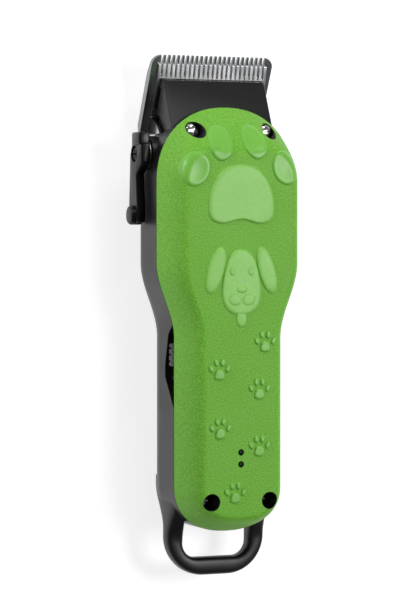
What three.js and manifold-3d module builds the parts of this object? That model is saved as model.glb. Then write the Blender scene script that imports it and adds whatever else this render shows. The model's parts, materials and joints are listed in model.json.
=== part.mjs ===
// Cordless pet-hair clipper, lying on its back.
// Millimetres. X across the clipper, Y from the hanging loop (-) to the blade tips (+),
// Z up out of the front cover.
// The origin lies on the flat back strip, at mid-length.

import * as THREE from 'three';
import { mergeVertices } from 'three/addons/utils/BufferGeometryUtils.js';
import Module from 'manifold-3d';

const wasm = await Module();
wasm.setup();

// ---------------------------------------------------------------- driving dimensions

const GAP = 0.3; // clearance between pieces that meet
const WALL = 2.0; // moulded wall of the cover and the housing

// plan outline, shared by the cover and the housing
const HEAD_HALF = 25.2; // half width at the head
const HEAD_CENTRE = 45.0; // Y where the rounded head end starts
const HEAD_REACH = 25.7; // length of the rounded head end
const HEAD_POWER = 2.2; // squareness of the head end
const GRIP_HALF = 18.9; // half width of the grip
const TAIL_CENTRE = -57.0; // Y where the rounded tail end starts
const TAIL_REACH = 16.0; // length of the rounded tail end
const TAIL_POWER = 2.3; // squareness of the tail end
const WAIST_LOW = -7.0; // Y where the grip starts to widen
const WAIST_HIGH = 18.0; // Y where the head has its full width

// heights
const PARTING = 26.5; // plane where the cover meets the housing
const CREST = 40.0; // flat front of the cover
const CORNER_HEIGHT = 14.0; // height of the rounded back corner
const BACK_PULL = 0.6; // share of the half width taken up by the rounded back corner
const SIDE_EDGE = 6.5; // width of the cover's steep edge along the sides
const HEAD_EDGE = 17.0; // width of the cover's sloping edge at the head end
const SIDE_SWELL = 2.2; // roundness of the steep edge
const HEAD_SWELL = 1.5; // roundness of the sloping edge

// blades: local frame at the fixed blade's tips, U back along the blade, N up from its skin side
const TILT = THREE.MathUtils.degToRad(27); // blade plane against the back
const TIP_Y = 89.95;
const TIP_Z = 13.7;
const BLADE_LENGTH = 29.5;
const BLADE_HALF = 22.3;
const BLADE_THICK = 3.0;
const BLADE_CORNER = 3.4; // radius of the front corners
const CUTTER_HALF = 20.0;
const CUTTER_FRONT = 3.0; // how far the cutter tips stand behind the fixed tips
const CUTTER_LENGTH = 19.4;
const CUTTER_THICK = 1.6;
const TOOTH_PITCH = 1.7;
const FIXED_SLOTS = 23;
const TOOTH_GAP = 0.8; // width of the slot between two teeth
const FIXED_TOOTH_LENGTH = 7.0;
const CUTTER_TOOTH_LENGTH = 4.6;
const CUTTER_STROKE = 1.2; // each way from the middle

// nose wedge
const NOSE_HALF = 18.85;
const NOSE_Y = 80.5; // front edge
const NOSE_Z = 16.0; // front edge, upper face
const NOSE_SLOPE = 0.53;
const NOSE_LIP = 1.7; // thickness at the front edge
const NOSE_UNDERSLOPE = 0.34; // fall of the lower face towards the back
const NOSE_BACK = 61.5;

// hanging loop
const LOOP_END = TAIL_CENTRE - TAIL_REACH - 16.0;
const LOOP_HALF = GRIP_HALF - 0.9;
const LOOP_CORNER = 13.5;
const LOOP_HOLE_HALF = LOOP_HALF - 6.0;
const LOOP_BAR = 6.2; // width of the bar that a hook bears on
const LOOP_HOLE_CORNER = 5.0;
const LOOP_LOW = 12.5; // underside and upper side of the bar
const LOOP_HIGH = 18.5;

// screws and wells
const SCREW_RADIUS = 1.5;
const SCREW_HEAD_RADIUS = SCREW_RADIUS + 1.0;
const SCREW_HEAD_HEIGHT = 1.8;
const SCREW_REACH = 13.0; // shank below the head
const WELL_RADIUS = SCREW_HEAD_RADIUS + 0.45;
const WELL_WALL = 1.4;
const BOSS_RADIUS = SCREW_RADIUS + 2.2;
const UPPER_SCREW = { x: 13.3, y: 62.6, floor: PARTING + 1.4 };
const LOWER_SCREW = { x: GRIP_HALF - 8.4, y: -61.9, floor: PARTING + 4.1 };

// small screws of the motor and the board
const SMALL_RADIUS = 1.0;
const SMALL_HEAD_RADIUS = 1.9;
const SMALL_HEAD_HEIGHT = 1.2;

// charge lamps
const LAMP_RADIUS = 0.8;
const LAMP_YS = [-45.4, -49.4];

// taper lever
const LEVER_Y = 55.0; // pivot
const LEVER_Z = 15.5;
const LEVER_SEAT = HEAD_HALF - 0.6; // flat seat on the housing, from the centre plane
const LEVER_SEAT_RADIUS = 6.2;
const LEVER_INNER = LEVER_SEAT + 1.3; // plate's inner face, from the centre plane
const LEVER_PLATE = 3.1;
const LEVER_OUTER = LEVER_INNER + LEVER_PLATE;
const LEVER_TRAVEL = THREE.MathUtils.degToRad(30);
const LEVER_SHAFT_RADIUS = 2.4;
const LEVER_TOP = 62.3; // Y of the two ends
const LEVER_FOOT = 31.0;
const LEVER_FOOT_LOW = 10.2; // lower and upper edge at the foot
const LEVER_FOOT_HIGH = 18.6;
const LEVER_HEAD_LOW = 15.2; // lower and upper edge at the top
const LEVER_HEAD_HIGH = 22.6;
const LEVER_LIP = 4.4; // length of the raised lip at the top
const LEVER_LIP_RISE = 0.9;
const ROLL_RADIUS = 3.3; // thumb roll at the foot
const ROLL_RISE = 1.6; // how far the roll stands out of the plate
const CRANK_RADIUS = 4.6;
const CRANK_PIN_RADIUS = 1.2;
const BLADE_TRAVEL = 2 * CRANK_RADIUS * Math.sin(LEVER_TRAVEL / 2);
const EAR_OUTER = NOSE_HALF + 0.35; // bracket's ear that the crank pin moves
const EAR_THICK = 1.0;

// switch
const SWITCH_LOW = -32.5; // Y of the recess's two ends at the parting plane
const SWITCH_HIGH = -2.0;
const SWITCH_FLOOR = 18.4; // bottom of the recess
const SWITCH_DEPTH = 3.0; // how deep the recess goes into the side
const SLIDER_Y = -12.0; // middle of the slider when switched on
const SLIDER_LENGTH = 8.0;
const SLIDER_TRAVEL = 4.0;
const SLIDER_LOW = 20.9; // lower edge of the slider

// drive
const MOTOR_RADIUS = 12.0;
const MOTOR_Z = 19.5;
const MOTOR_LENGTH = 31.0;
const MOTOR_FRONT = 48.0;
const MOTOR_BACK = MOTOR_FRONT - MOTOR_LENGTH;
const MOTOR_SHAFT_RADIUS = 1.0;
const CAM_RADIUS = 3.4;
const CAM_THROW = CUTTER_STROKE;
const CAM_PIN_RADIUS = 1.2;
const MOTOR_SCREW_XS = [-8, 8];
const BRACKET_BACK = MOTOR_FRONT + GAP;
const MOTOR_BRACKET = 1.6;

// power
const CELL_RADIUS = 9.1;
const CELL_LENGTH = 65.0;
const CELL_CAP = 0.9; // raised contact at the front end
const CELL_CAP_RADIUS = 3.0;
const TAB_THICK = 0.5;
const CELL_BACK = -56.0;
const CELL_Z = WALL + 2.5 + CELL_RADIUS;
const CRADLE_HALF = GRIP_HALF * (1 - BACK_PULL) - GAP;
const BOARD_THICK = 1.6;
const BOARD_Z = CELL_Z + CELL_RADIUS + 0.9;
const BOARD = { half: 10.5, low: -52.0, high: -8.0 };
const BOARD_SCREW_YS = [-36, -16];
const SOCKET_BORE = 2.75;
const SOCKET_RADIUS = SOCKET_BORE + 0.85;
const SOCKET_Z = 12.0;

// ---------------------------------------------------------------- finishes

function finish(color, roughness, metalness) {
  return () => new THREE.MeshStandardMaterial({ color, roughness, metalness });
}

const greenPlastic = finish(0x6db33f, 0.55, 0);
const blackPlastic = finish(0x1b1b1d, 0.5, 0);
const steel = finish(0xcfd2d6, 0.22, 1);
const darkSteel = finish(0x8b8f94, 0.4, 1);
const brass = finish(0xc0a050, 0.35, 1);
const whitePlastic = finish(0xe4e2da, 0.5, 0);
const boardGreen = finish(0x1f5a36, 0.5, 0);
const cellWrap = finish(0x2c6bb0, 0.4, 0);
const smokedPlastic = finish(0x14301a, 0.2, 0);

// ---------------------------------------------------------------- solids

function toSolid(geometry) {
  const bare = geometry.clone();
  bare.deleteAttribute('normal');
  bare.deleteAttribute('uv');
  const merged = mergeVertices(bare, 1e-4);
  const index = merged.index.array;
  const kept = [];
  for (let i = 0; i < index.length; i += 3) {
    const [a, b, c] = [index[i], index[i + 1], index[i + 2]];
    if (a !== b && b !== c && c !== a) kept.push(a, b, c);
  }
  const vertProperties = new Float32Array(merged.attributes.position.array);
  const triVerts = new Uint32Array(kept);
  return new wasm.Manifold(new wasm.Mesh({ numProp: 3, vertProperties, triVerts }));
}

function toGeometry(solid) {
  const { vertProperties, triVerts } = solid.getMesh();
  const geometry = new THREE.BufferGeometry();
  geometry.setAttribute('position', new THREE.BufferAttribute(vertProperties, 3));
  geometry.setIndex(new THREE.BufferAttribute(triVerts, 1));
  geometry.computeVertexNormals();
  return geometry;
}

function join(...solids) {
  return solids.reduce((whole, next) => whole.add(next));
}

function cut(whole, ...tools) {
  return tools.reduce((left, tool) => left.subtract(tool), whole);
}

function piece(name, solid, material, parent) {
  const mesh = new THREE.Mesh(toGeometry(solid), material());
  mesh.name = name;
  parent.add(mesh);
  return mesh;
}

// a box between two corners
function block(x0, x1, y0, y1, z0, z1) {
  const box = new THREE.BoxGeometry(x1 - x0, y1 - y0, z1 - z0);
  box.translate((x0 + x1) / 2, (y0 + y1) / 2, (z0 + z1) / 2);
  return toSolid(box);
}

const TURN_TO = { x: new THREE.Matrix4().makeRotationZ(-Math.PI / 2), y: new THREE.Matrix4(),
  z: new THREE.Matrix4().makeRotationX(Math.PI / 2) };

// a round rod along an axis, from one end to the other, through a point
function rod(axis, radius, from, to, through, sides = 24) {
  const low = Math.min(from, to);
  const cylinder = new THREE.CylinderGeometry(radius, radius, Math.abs(to - from), sides);
  cylinder.applyMatrix4(TURN_TO[axis]);
  const middle = new THREE.Vector3(...through);
  middle[axis] = low + Math.abs(to - from) / 2;
  cylinder.translate(middle.x, middle.y, middle.z);
  return toSolid(cylinder);
}

function shapeOf(points) {
  return new THREE.Shape(points.map(([a, b]) => new THREE.Vector2(a, b)));
}

// an outline in X and Y, raised between two heights
function planPrism(shape, z0, z1, curveSegments = 8) {
  const geometry = new THREE.ExtrudeGeometry(shape, { depth: z1 - z0, bevelEnabled: false, curveSegments });
  geometry.translate(0, 0, z0);
  return toSolid(geometry);
}

// an outline in Y and Z, carried across in X
const SIDEWAYS = new THREE.Matrix4().makeBasis(
  new THREE.Vector3(0, 1, 0), new THREE.Vector3(0, 0, 1), new THREE.Vector3(1, 0, 0));

function sidePrism(shape, x0, x1, curveSegments = 8) {
  const geometry = new THREE.ExtrudeGeometry(shape, { depth: x1 - x0, bevelEnabled: false, curveSegments });
  geometry.applyMatrix4(SIDEWAYS);
  geometry.translate(x0, 0, 0);
  return toSolid(geometry);
}

// a closed body through rings of equal count, lowest ring first
function loft(rings) {
  const count = rings[0].length;
  const positions = rings.flat().flatMap((point) => [point.x, point.y, point.z]);
  const faces = [];
  for (let r = 0; r + 1 < rings.length; r++) {
    for (let i = 0; i < count; i++) {
      const a = r * count + i;
      const b = r * count + (i + 1) % count;
      faces.push(a, b, b + count, a, b + count, a + count);
    }
  }
  const top = (rings.length - 1) * count;
  const flat = (ring) => ring.map((point) => new THREE.Vector2(point.x, point.y));
  for (const [a, b, c] of THREE.ShapeUtils.triangulateShape(flat(rings[0]), [])) faces.push(a, c, b);
  for (const [a, b, c] of THREE.ShapeUtils.triangulateShape(flat(rings.at(-1)), [])) {
    faces.push(top + a, top + b, top + c);
  }
  const geometry = new THREE.BufferGeometry();
  geometry.setAttribute('position', new THREE.Float32BufferAttribute(positions, 3));
  geometry.setIndex(faces);
  return toSolid(geometry);
}

// ---------------------------------------------------------------- plan outline

const END_STEPS = 8;
const SIDE_YS = [-40, -22, WAIST_LOW, WAIST_LOW + 5, WAIST_LOW + 10, WAIST_LOW + 15, WAIST_LOW + 20,
  WAIST_HIGH, 32];

function roundEnd(half, reach, power, angle) {
  return [half * Math.cos(angle) ** (2 / power), reach * Math.sin(angle) ** (2 / power)];
}

// the outline as points from the tail tip up the right side and down the left, inset by a wall
function outline(inset) {
  const right = [];
  for (let i = 0; i <= END_STEPS; i++) {
    const angle = (Math.PI / 2) * (1 - i / END_STEPS);
    const [x, y] = roundEnd(GRIP_HALF - inset, TAIL_REACH - inset, TAIL_POWER, angle);
    right.push([i === 0 ? 0 : x, TAIL_CENTRE - y]);
  }
  for (const y of SIDE_YS) {
    const widening = THREE.MathUtils.smoothstep(y, WAIST_LOW, WAIST_HIGH);
    right.push([THREE.MathUtils.lerp(GRIP_HALF, HEAD_HALF, widening) - inset, y]);
  }
  for (let i = 0; i <= END_STEPS; i++) {
    const angle = (Math.PI / 2) * (i / END_STEPS);
    const [x, y] = roundEnd(HEAD_HALF - inset, HEAD_REACH - inset, HEAD_POWER, angle);
    right.push([i === END_STEPS ? 0 : x, HEAD_CENTRE + y]);
  }
  const left = right.slice(1, -1).reverse().map(([x, y]) => [-x, y]);
  return [...right, ...left];
}

// one ring of a loft: the outline pulled towards the centre line by a share,
// which may depend on the distance to the centre line and on how far round the head end the point lies
function ring(inset, shareAt, heightAt) {
  return outline(inset).map(([x, y]) => {
    const spine = THREE.MathUtils.clamp(y, TAIL_CENTRE, HEAD_CENTRE);
    const towardsHead = (Math.max(0, y - HEAD_CENTRE) / (HEAD_REACH - inset)) ** 2;
    const share = shareAt(Math.hypot(x, y - spine), towardsHead);
    return new THREE.Vector3(x * (1 - share), THREE.MathUtils.lerp(y, spine, share), heightAt(towardsHead));
  });
}

// ---------------------------------------------------------------- front cover

const COVER_BASE = PARTING + GAP / 2;
const COVER_STEPS = [0, 0.12, 0.27, 0.45, 0.65, 0.83, 1];

function coverForm(inset, base) {
  const edge = (head) => THREE.MathUtils.lerp(SIDE_EDGE, HEAD_EDGE, head);
  const swell = (head) => THREE.MathUtils.lerp(SIDE_SWELL, HEAD_SWELL, head);
  const rings = COVER_STEPS.map((step) => ring(inset,
    (reach, head) => step * edge(head) / reach,
    (head) => base + (CREST - inset - base) * (1 - (1 - step) ** swell(head))));
  return loft(rings);
}

// a flattened dome, turned in plan
function dome(x, y, halfWidth, halfLength, low, high, turnDegrees) {
  const ball = new THREE.SphereGeometry(1, 12, 8);
  ball.rotateX(Math.PI / 2);
  ball.scale(halfWidth, halfLength, high - low);
  ball.rotateZ(THREE.MathUtils.degToRad(turnDegrees));
  ball.translate(x, y, low);
  return toSolid(ball);
}

const PAD_TOP = CREST + 0.8;
const PAD_HALF = 12.0;
const PAD_LOW = 31.0; // lower lobes, widest line and top of the big pad
const PAD_WAIST = 36.0;
const PAD_HIGH = 51.0;
const OUTER_TOE = { x: 15.6, y: 49.4, half: 5.2, length: 5.8, turn: 20 };
const INNER_TOE = { x: 6.3, y: 58.2, half: 4.3, length: 5.8, turn: 8 };
const PAW_RELIEF = 0.5;
const PAW_TOES = [[-2.6, 0.9], [-1, 2.6], [1, 2.6], [2.6, 0.9]];
const PAW_TOE_RADIUS = 0.8;
const PAW_PAD_RADIUS = 1.9;
const DOG_HEAD = { y: 15, half: 7.2, height: 7.6 };
const DOG_MUZZLE = { y: 6.4, half: 4.8, height: 7.2 };
const DOG_EAR = { x: 8.9, y: 15, half: 2.9, height: 7.0, turn: 0.3 };
const PAWS = [[8.7, -8.6], [-7.9, -17.8], [6.6, -24.5], [-7.6, -37.6], [6.6, -43.7], [-2.2, -59.2]];

function bigPad() {
  const pad = new THREE.Shape();
  pad.moveTo(-PAD_HALF, PAD_WAIST);
  pad.bezierCurveTo(-PAD_HALF, PAD_WAIST + 7, -PAD_HALF / 2, PAD_HIGH, 0, PAD_HIGH);
  pad.bezierCurveTo(PAD_HALF / 2, PAD_HIGH, PAD_HALF, PAD_WAIST + 7, PAD_HALF, PAD_WAIST);
  pad.bezierCurveTo(PAD_HALF, PAD_LOW - 1, PAD_HALF * 0.67, PAD_LOW + 0.5, 0, PAD_LOW + 2.5);
  pad.bezierCurveTo(-PAD_HALF * 0.67, PAD_LOW + 0.5, -PAD_HALF, PAD_LOW - 1, -PAD_HALF, PAD_WAIST);
  return planPrism(pad, CREST - 1.5, PAD_TOP, 6);
}

function toes() {
  const toe = ({ x, y, half, length, turn }, low, high) =>
    [-1, 1].map((side) => dome(side * x, y, half, length, low, high, side * turn));
  return join(...toe(OUTER_TOE, CREST - 1, PAD_TOP), ...toe(INNER_TOE, CREST - 3, CREST - 0.4));
}

function smallPaw(x, y) {
  const top = CREST + PAW_RELIEF;
  const print = (radius, dx, dy, sides) => rod('z', radius, CREST - 1, top, [x + dx, y + dy, 0], sides);
  const toes = PAW_TOES.map(([dx, dy]) => print(PAW_TOE_RADIUS, dx, dy, 6));
  return join(print(PAW_PAD_RADIUS, 0, -1.2, 8), ...toes);
}

// a plain dog's face: a rounded muzzle and head with two hanging ears
function dogFace() {
  const head = new THREE.Shape();
  head.absellipse(0, DOG_HEAD.y, DOG_HEAD.half, DOG_HEAD.height, 0, 2 * Math.PI);
  const muzzle = new THREE.Shape();
  muzzle.absellipse(0, DOG_MUZZLE.y, DOG_MUZZLE.half, DOG_MUZZLE.height, 0, 2 * Math.PI);
  const parts = [planPrism(head, CREST - 1, CREST + PAW_RELIEF, 7),
    planPrism(muzzle, CREST - 1, CREST + PAW_RELIEF, 7)];
  for (const side of [-1, 1]) {
    const ear = new THREE.Shape();
    const { x, y, half, height, turn } = DOG_EAR;
    ear.absellipse(side * x, y, half, height, 0, 2 * Math.PI, false, side * turn);
    parts.push(planPrism(ear, CREST - 1, CREST + PAW_RELIEF, 7));
  }
  return join(...parts);
}

const SCREWS = [-1, 1].flatMap((side) => [{ ...UPPER_SCREW, x: side * UPPER_SCREW.x },
  { ...LOWER_SCREW, x: side * LOWER_SCREW.x }]);

function frontCover() {
  const outer = coverForm(0, COVER_BASE);
  const shell = cut(outer, coverForm(WALL, COVER_BASE - WALL));
  const bosses = SCREWS.map(({ x, y }) =>
    rod('z', WELL_RADIUS + WELL_WALL, COVER_BASE, CREST, [x, y, 0]).intersect(outer));
  const reliefs = [bigPad(), toes(), dogFace(), ...PAWS.map(([x, y]) => smallPaw(x, y))];
  const wells = SCREWS.flatMap(({ x, y, floor }) => [
    rod('z', WELL_RADIUS, floor, CREST + 2, [x, y, 0]),
    rod('z', SCREW_RADIUS + GAP, COVER_BASE - 1, CREST, [x, y, 0], 16)]);
  const lampHoles = LAMP_YS.map((y) => rod('z', LAMP_RADIUS + GAP, CREST - 5, CREST + 2, [0, y, 0], 12));
  return cut(join(shell, ...bosses, ...reliefs), ...wells, ...lampHoles);
}

// ---------------------------------------------------------------- blade frame

const bladeFrame = new THREE.Group();
bladeFrame.position.set(0, TIP_Y, TIP_Z);
bladeFrame.rotation.x = TILT;
bladeFrame.updateMatrixWorld();

// a solid made in the blade frame, brought into the part's frame
function fromBladeFrame(solid) {
  const geometry = toGeometry(solid);
  geometry.applyMatrix4(bladeFrame.matrixWorld);
  return toSolid(geometry);
}

// a point of the part's frame as U and N of the blade frame
function inBladeFrame(y, z) {
  const point = new THREE.Vector3(0, y, z).applyMatrix4(bladeFrame.matrixWorld.clone().invert());
  return [point.y, point.z];
}

const CUTTER_LOW = BLADE_THICK + GAP;
const CUTTER_HIGH = CUTTER_LOW + CUTTER_THICK;
const CUTTER_BACK = -(CUTTER_FRONT + CUTTER_LENGTH);
const BRACKET_FRONT = CUTTER_BACK - 0.9;
const SPRING_FRONT = CUTTER_BACK + 11; // front edge of the tension spring
const BRACKET_HIGH = CUTTER_LOW + 1.2;
const BLADE_SCREW = { x: 11.5, u: -26.2 };
const BLADE_SCREW_TOP = BRACKET_HIGH + 1.6;

// ---------------------------------------------------------------- rear housing

const HOUSING_TOP = PARTING - GAP / 2;
const HOUSING_STEPS = [0, 15, 30, 45, 60, 75, 90].map((degrees) => THREE.MathUtils.degToRad(degrees));

function housingForm(inset, top) {
  const rings = HOUSING_STEPS.map((angle) => ring(inset, () => BACK_PULL * (1 - Math.sin(angle)),
    () => inset + (CORNER_HEIGHT - inset) * (1 - Math.cos(angle))));
  rings.push(ring(inset, () => 0, () => top));
  return loft(rings);
}

// side profile of the nose wedge, drawn in by a wall
function noseProfile(inset, back) {
  const topAt = (y) => NOSE_Z + (NOSE_Y - y) * NOSE_SLOPE - inset;
  const lowAt = (y) => NOSE_Z - NOSE_LIP - (NOSE_Y - y) * NOSE_UNDERSLOPE + inset;
  const front = inset === 0 ? NOSE_Y : NOSE_Y - inset * 3;
  return shapeOf([[back, topAt(back)], [back, lowAt(back)], [front, lowAt(front)], [front, topAt(front)]]);
}

function loopFrame() {
  const frame = new THREE.Shape();
  frame.moveTo(-LOOP_HALF, TAIL_CENTRE);
  frame.lineTo(-LOOP_HALF, LOOP_END + LOOP_CORNER);
  frame.absarc(-LOOP_HALF + LOOP_CORNER, LOOP_END + LOOP_CORNER, LOOP_CORNER, Math.PI, 1.5 * Math.PI);
  frame.absarc(LOOP_HALF - LOOP_CORNER, LOOP_END + LOOP_CORNER, LOOP_CORNER, 1.5 * Math.PI, 2 * Math.PI);
  frame.lineTo(LOOP_HALF, TAIL_CENTRE);
  const hole = new THREE.Path();
  const low = LOOP_END + LOOP_BAR;
  const high = TAIL_CENTRE - TAIL_REACH + 3;
  hole.moveTo(-LOOP_HOLE_HALF, high);
  hole.lineTo(LOOP_HOLE_HALF, high);
  hole.lineTo(LOOP_HOLE_HALF, low + LOOP_HOLE_CORNER);
  hole.absarc(LOOP_HOLE_HALF - LOOP_HOLE_CORNER, low + LOOP_HOLE_CORNER, LOOP_HOLE_CORNER,
    0, -Math.PI / 2, true);
  hole.absarc(-LOOP_HOLE_HALF + LOOP_HOLE_CORNER, low + LOOP_HOLE_CORNER, LOOP_HOLE_CORNER,
    -Math.PI / 2, -Math.PI, true);
  frame.holes.push(hole);
  const tail = TAIL_CENTRE - TAIL_REACH;
  const sweep = shapeOf([[LOOP_END - 1, LOOP_LOW], [tail, LOOP_LOW], [tail + 7, LOOP_LOW - 5],
    [TAIL_CENTRE + 1, 5], [TAIL_CENTRE + 1, HOUSING_TOP], [tail + 11, HOUSING_TOP - 1.2], [tail + 4, 21],
    [tail - 1, LOOP_HIGH], [LOOP_END - 1, LOOP_HIGH]]);
  return planPrism(frame, 0, PARTING, 8).intersect(sidePrism(sweep, -LOOP_HALF - 1, LOOP_HALF + 1));
}

const RECESS_FLOOR = GRIP_HALF - SWITCH_DEPTH; // distance of the switch panel from the centre plane
const STEM_HALF = 1.4;
const STEM_Z = (SLIDER_LOW + HOUSING_TOP) / 2 + 0.1;

function bladeRoom() {
  const back = -(BLADE_LENGTH + BLADE_TRAVEL + 0.5);
  const side = BLADE_HALF + 1;
  const earLow = -EAR_OUTER - 0.6;
  const room = [
    block(-side, side, back, 5, -20, CUTTER_HIGH + 0.4),
    block(-side, side, back, SPRING_FRONT + 0.6, -20, BLADE_SCREW_TOP + 0.5),
    block(earLow, -EAR_OUTER + EAR_THICK + 0.6, back - 5, -20, -20, 17)];
  return fromBladeFrame(join(...room));
}

function rearHousing() {
  const nose = sidePrism(noseProfile(0, NOSE_BACK), -NOSE_HALF, NOSE_HALF);
  const form = join(housingForm(0, HOUSING_TOP), nose);
  const seat = rod('x', LEVER_SEAT_RADIUS, -LEVER_SEAT, -HEAD_HALF + 6, [0, LEVER_Y, LEVER_Z]);
  const outer = join(form, loopFrame(), seat);
  const hollow = join(housingForm(WALL, HOUSING_TOP + WALL),
    sidePrism(noseProfile(WALL, NOSE_BACK - WALL), -NOSE_HALF + WALL, NOSE_HALF - WALL));
  const switchPanel = block(-GRIP_HALF, -RECESS_FLOOR + 1.6, SWITCH_LOW - 1.6, SWITCH_HIGH + 1.6,
    SWITCH_FLOOR - 1.8, HOUSING_TOP).intersect(form);
  const bosses = SCREWS.map(({ x, y }) =>
    rod('z', BOSS_RADIUS, WALL / 2, HOUSING_TOP, [x, y, 0]).intersect(form));
  const sleeve = rod('y', SOCKET_RADIUS + 1.7, TAIL_CENTRE - TAIL_REACH, TAIL_CENTRE - 7, [0, 0, SOCKET_Z]);
  const socketSleeve = sleeve.intersect(form);
  const body = join(cut(outer, hollow), switchPanel, socketSleeve, ...bosses);
  const switchRecess = sidePrism(shapeOf([[SWITCH_LOW, HOUSING_TOP + 1], [SWITCH_LOW + 12, SWITCH_FLOOR],
    [SWITCH_LOW + 16, SWITCH_FLOOR], [SWITCH_HIGH - 4, SWITCH_FLOOR + 3], [SWITCH_HIGH, HOUSING_TOP + 1]]),
  -GRIP_HALF - 3, -RECESS_FLOOR);
  const stemSlot = block(-GRIP_HALF, -RECESS_FLOOR + 3,
    SLIDER_Y - STEM_HALF - SLIDER_TRAVEL - GAP, SLIDER_Y + STEM_HALF + GAP, STEM_Z - 1.3, STEM_Z + 1.3);
  const screwBores = SCREWS.map(({ x, y, floor }) =>
    rod('z', SCREW_RADIUS + GAP, floor - SCREW_REACH - 1, PARTING + 1, [x, y, 0], 16));
  const leverBore = rod('x', LEVER_SHAFT_RADIUS + GAP, -LEVER_SEAT - 1, -15, [0, LEVER_Y, LEVER_Z]);
  const leverRoom = rod('x', CRANK_RADIUS + 3, -HEAD_HALF + WALL + 1.4, -12, [0, LEVER_Y, LEVER_Z]);
  const socketBore = rod('y', SOCKET_RADIUS + GAP, -80, TAIL_CENTRE, [0, 0, SOCKET_Z]);
  const yokeRoom = fromBladeFrame(
    block(-YOKE_ROOM, YOKE_ROOM, 1 - BLADE_LENGTH, SPRING_FRONT + 0.6, CUTTER_LOW, 11));
  return cut(body, switchRecess, stemSlot, ...screwBores, leverBore, leverRoom, socketBore, bladeRoom(),
    yokeRoom);
}

// ---------------------------------------------------------------- blades

// a row of slots between teeth, open at the front
function toothSlots(count, front, length, low, high) {
  const slots = [];
  for (let i = 0; i < count; i++) {
    const x = (i - (count - 1) / 2) * TOOTH_PITCH;
    const slot = shapeOf([[x - TOOTH_GAP / 2, front - length], [x + TOOTH_GAP / 2, front - length],
      [x + TOOTH_GAP / 2 + 0.1, front + 1], [x - TOOTH_GAP / 2 - 0.1, front + 1]]);
    slots.push(planPrism(slot, low, high));
  }
  return join(...slots);
}

function fixedBlade() {
  const profile = shapeOf([[-BLADE_LENGTH, 1.6], [-BLADE_LENGTH + 2, 0], [-FIXED_TOOTH_LENGTH - 1, 0],
    [0, BLADE_THICK - 0.9], [0, BLADE_THICK], [-BLADE_LENGTH, BLADE_THICK]]);
  const bar = sidePrism(profile, -BLADE_HALF, BLADE_HALF);
  const plan = new THREE.Shape();
  plan.moveTo(-BLADE_HALF, -BLADE_LENGTH - 1);
  plan.lineTo(BLADE_HALF, -BLADE_LENGTH - 1);
  plan.lineTo(BLADE_HALF, -BLADE_CORNER);
  plan.absarc(BLADE_HALF - BLADE_CORNER, -BLADE_CORNER, BLADE_CORNER, 0, Math.PI / 2);
  plan.absarc(-BLADE_HALF + BLADE_CORNER, -BLADE_CORNER, BLADE_CORNER, Math.PI / 2, Math.PI);
  const rounded = bar.intersect(planPrism(plan, -1, BLADE_THICK + 1, 6));
  const holes = [-1, 1].map((side) =>
    rod('z', SCREW_RADIUS + GAP, -1, BLADE_THICK + 1, [side * BLADE_SCREW.x, BLADE_SCREW.u, 0], 16));
  const seats = [-1, 1].map((side) =>
    rod('z', SCREW_HEAD_RADIUS + GAP, -1, 1.6, [side * BLADE_SCREW.x, BLADE_SCREW.u, 0], 20));
  const slots = toothSlots(FIXED_SLOTS, 0, FIXED_TOOTH_LENGTH, -1, BLADE_THICK + 1);
  return cut(rounded, slots, ...holes, ...seats);
}

function movingBlade() {
  const front = -CUTTER_FRONT;
  const profile = shapeOf([[CUTTER_BACK, CUTTER_LOW], [front, CUTTER_LOW], [front, CUTTER_LOW + 0.5],
    [front - CUTTER_TOOTH_LENGTH, CUTTER_HIGH], [CUTTER_BACK, CUTTER_HIGH]]);
  const bar = sidePrism(profile, -CUTTER_HALF, CUTTER_HALF);
  const window = block(-5, 5, CUTTER_BACK + 3.2, CUTTER_BACK + 6.8, CUTTER_LOW - 1, CUTTER_HIGH + 1);
  const slots = toothSlots(FIXED_SLOTS, front, CUTTER_TOOTH_LENGTH, CUTTER_LOW - 1, CUTTER_HIGH + 1);
  return cut(bar, slots, window);
}

const CRANK_ANGLE = LEVER_TRAVEL / 2;
const [PIVOT_U, PIVOT_N] = inBladeFrame(LEVER_Y, LEVER_Z);
const PIN_U = PIVOT_U + CRANK_RADIUS * Math.sin(CRANK_ANGLE);
const PIN_N = PIVOT_N - CRANK_RADIUS * Math.cos(CRANK_ANGLE);

function bladeBracket() {
  const base = block(-EAR_OUTER, EAR_OUTER, -BLADE_LENGTH + 0.4, BRACKET_FRONT, CUTTER_LOW, BRACKET_HIGH);
  const ear = sidePrism(shapeOf([[BRACKET_FRONT, CUTTER_LOW], [BRACKET_FRONT + 0.4, CUTTER_LOW + 5.4],
    [PIN_U + 3, PIN_N + 3.6], [PIN_U - 3, PIN_N + 3.6], [PIN_U - 3, PIN_N - 3.2],
    [-BLADE_LENGTH + 0.4, CUTTER_LOW]]), -EAR_OUTER, -EAR_OUTER + EAR_THICK);
  const slot = block(-EAR_OUTER - 1, -EAR_OUTER + EAR_THICK + 1, PIN_U - CRANK_PIN_RADIUS - GAP,
    PIN_U + CRANK_PIN_RADIUS + GAP, PIN_N - CRANK_PIN_RADIUS - 0.8, PIN_N + CRANK_PIN_RADIUS + 0.8);
  const holes = [-BLADE_SCREW.x, BLADE_SCREW.x].map((x) =>
    rod('z', SCREW_RADIUS + GAP, CUTTER_LOW - 1, BRACKET_HIGH + 1, [x, BLADE_SCREW.u, 0], 16));
  return cut(join(base, ear), slot, ...holes);
}

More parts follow.
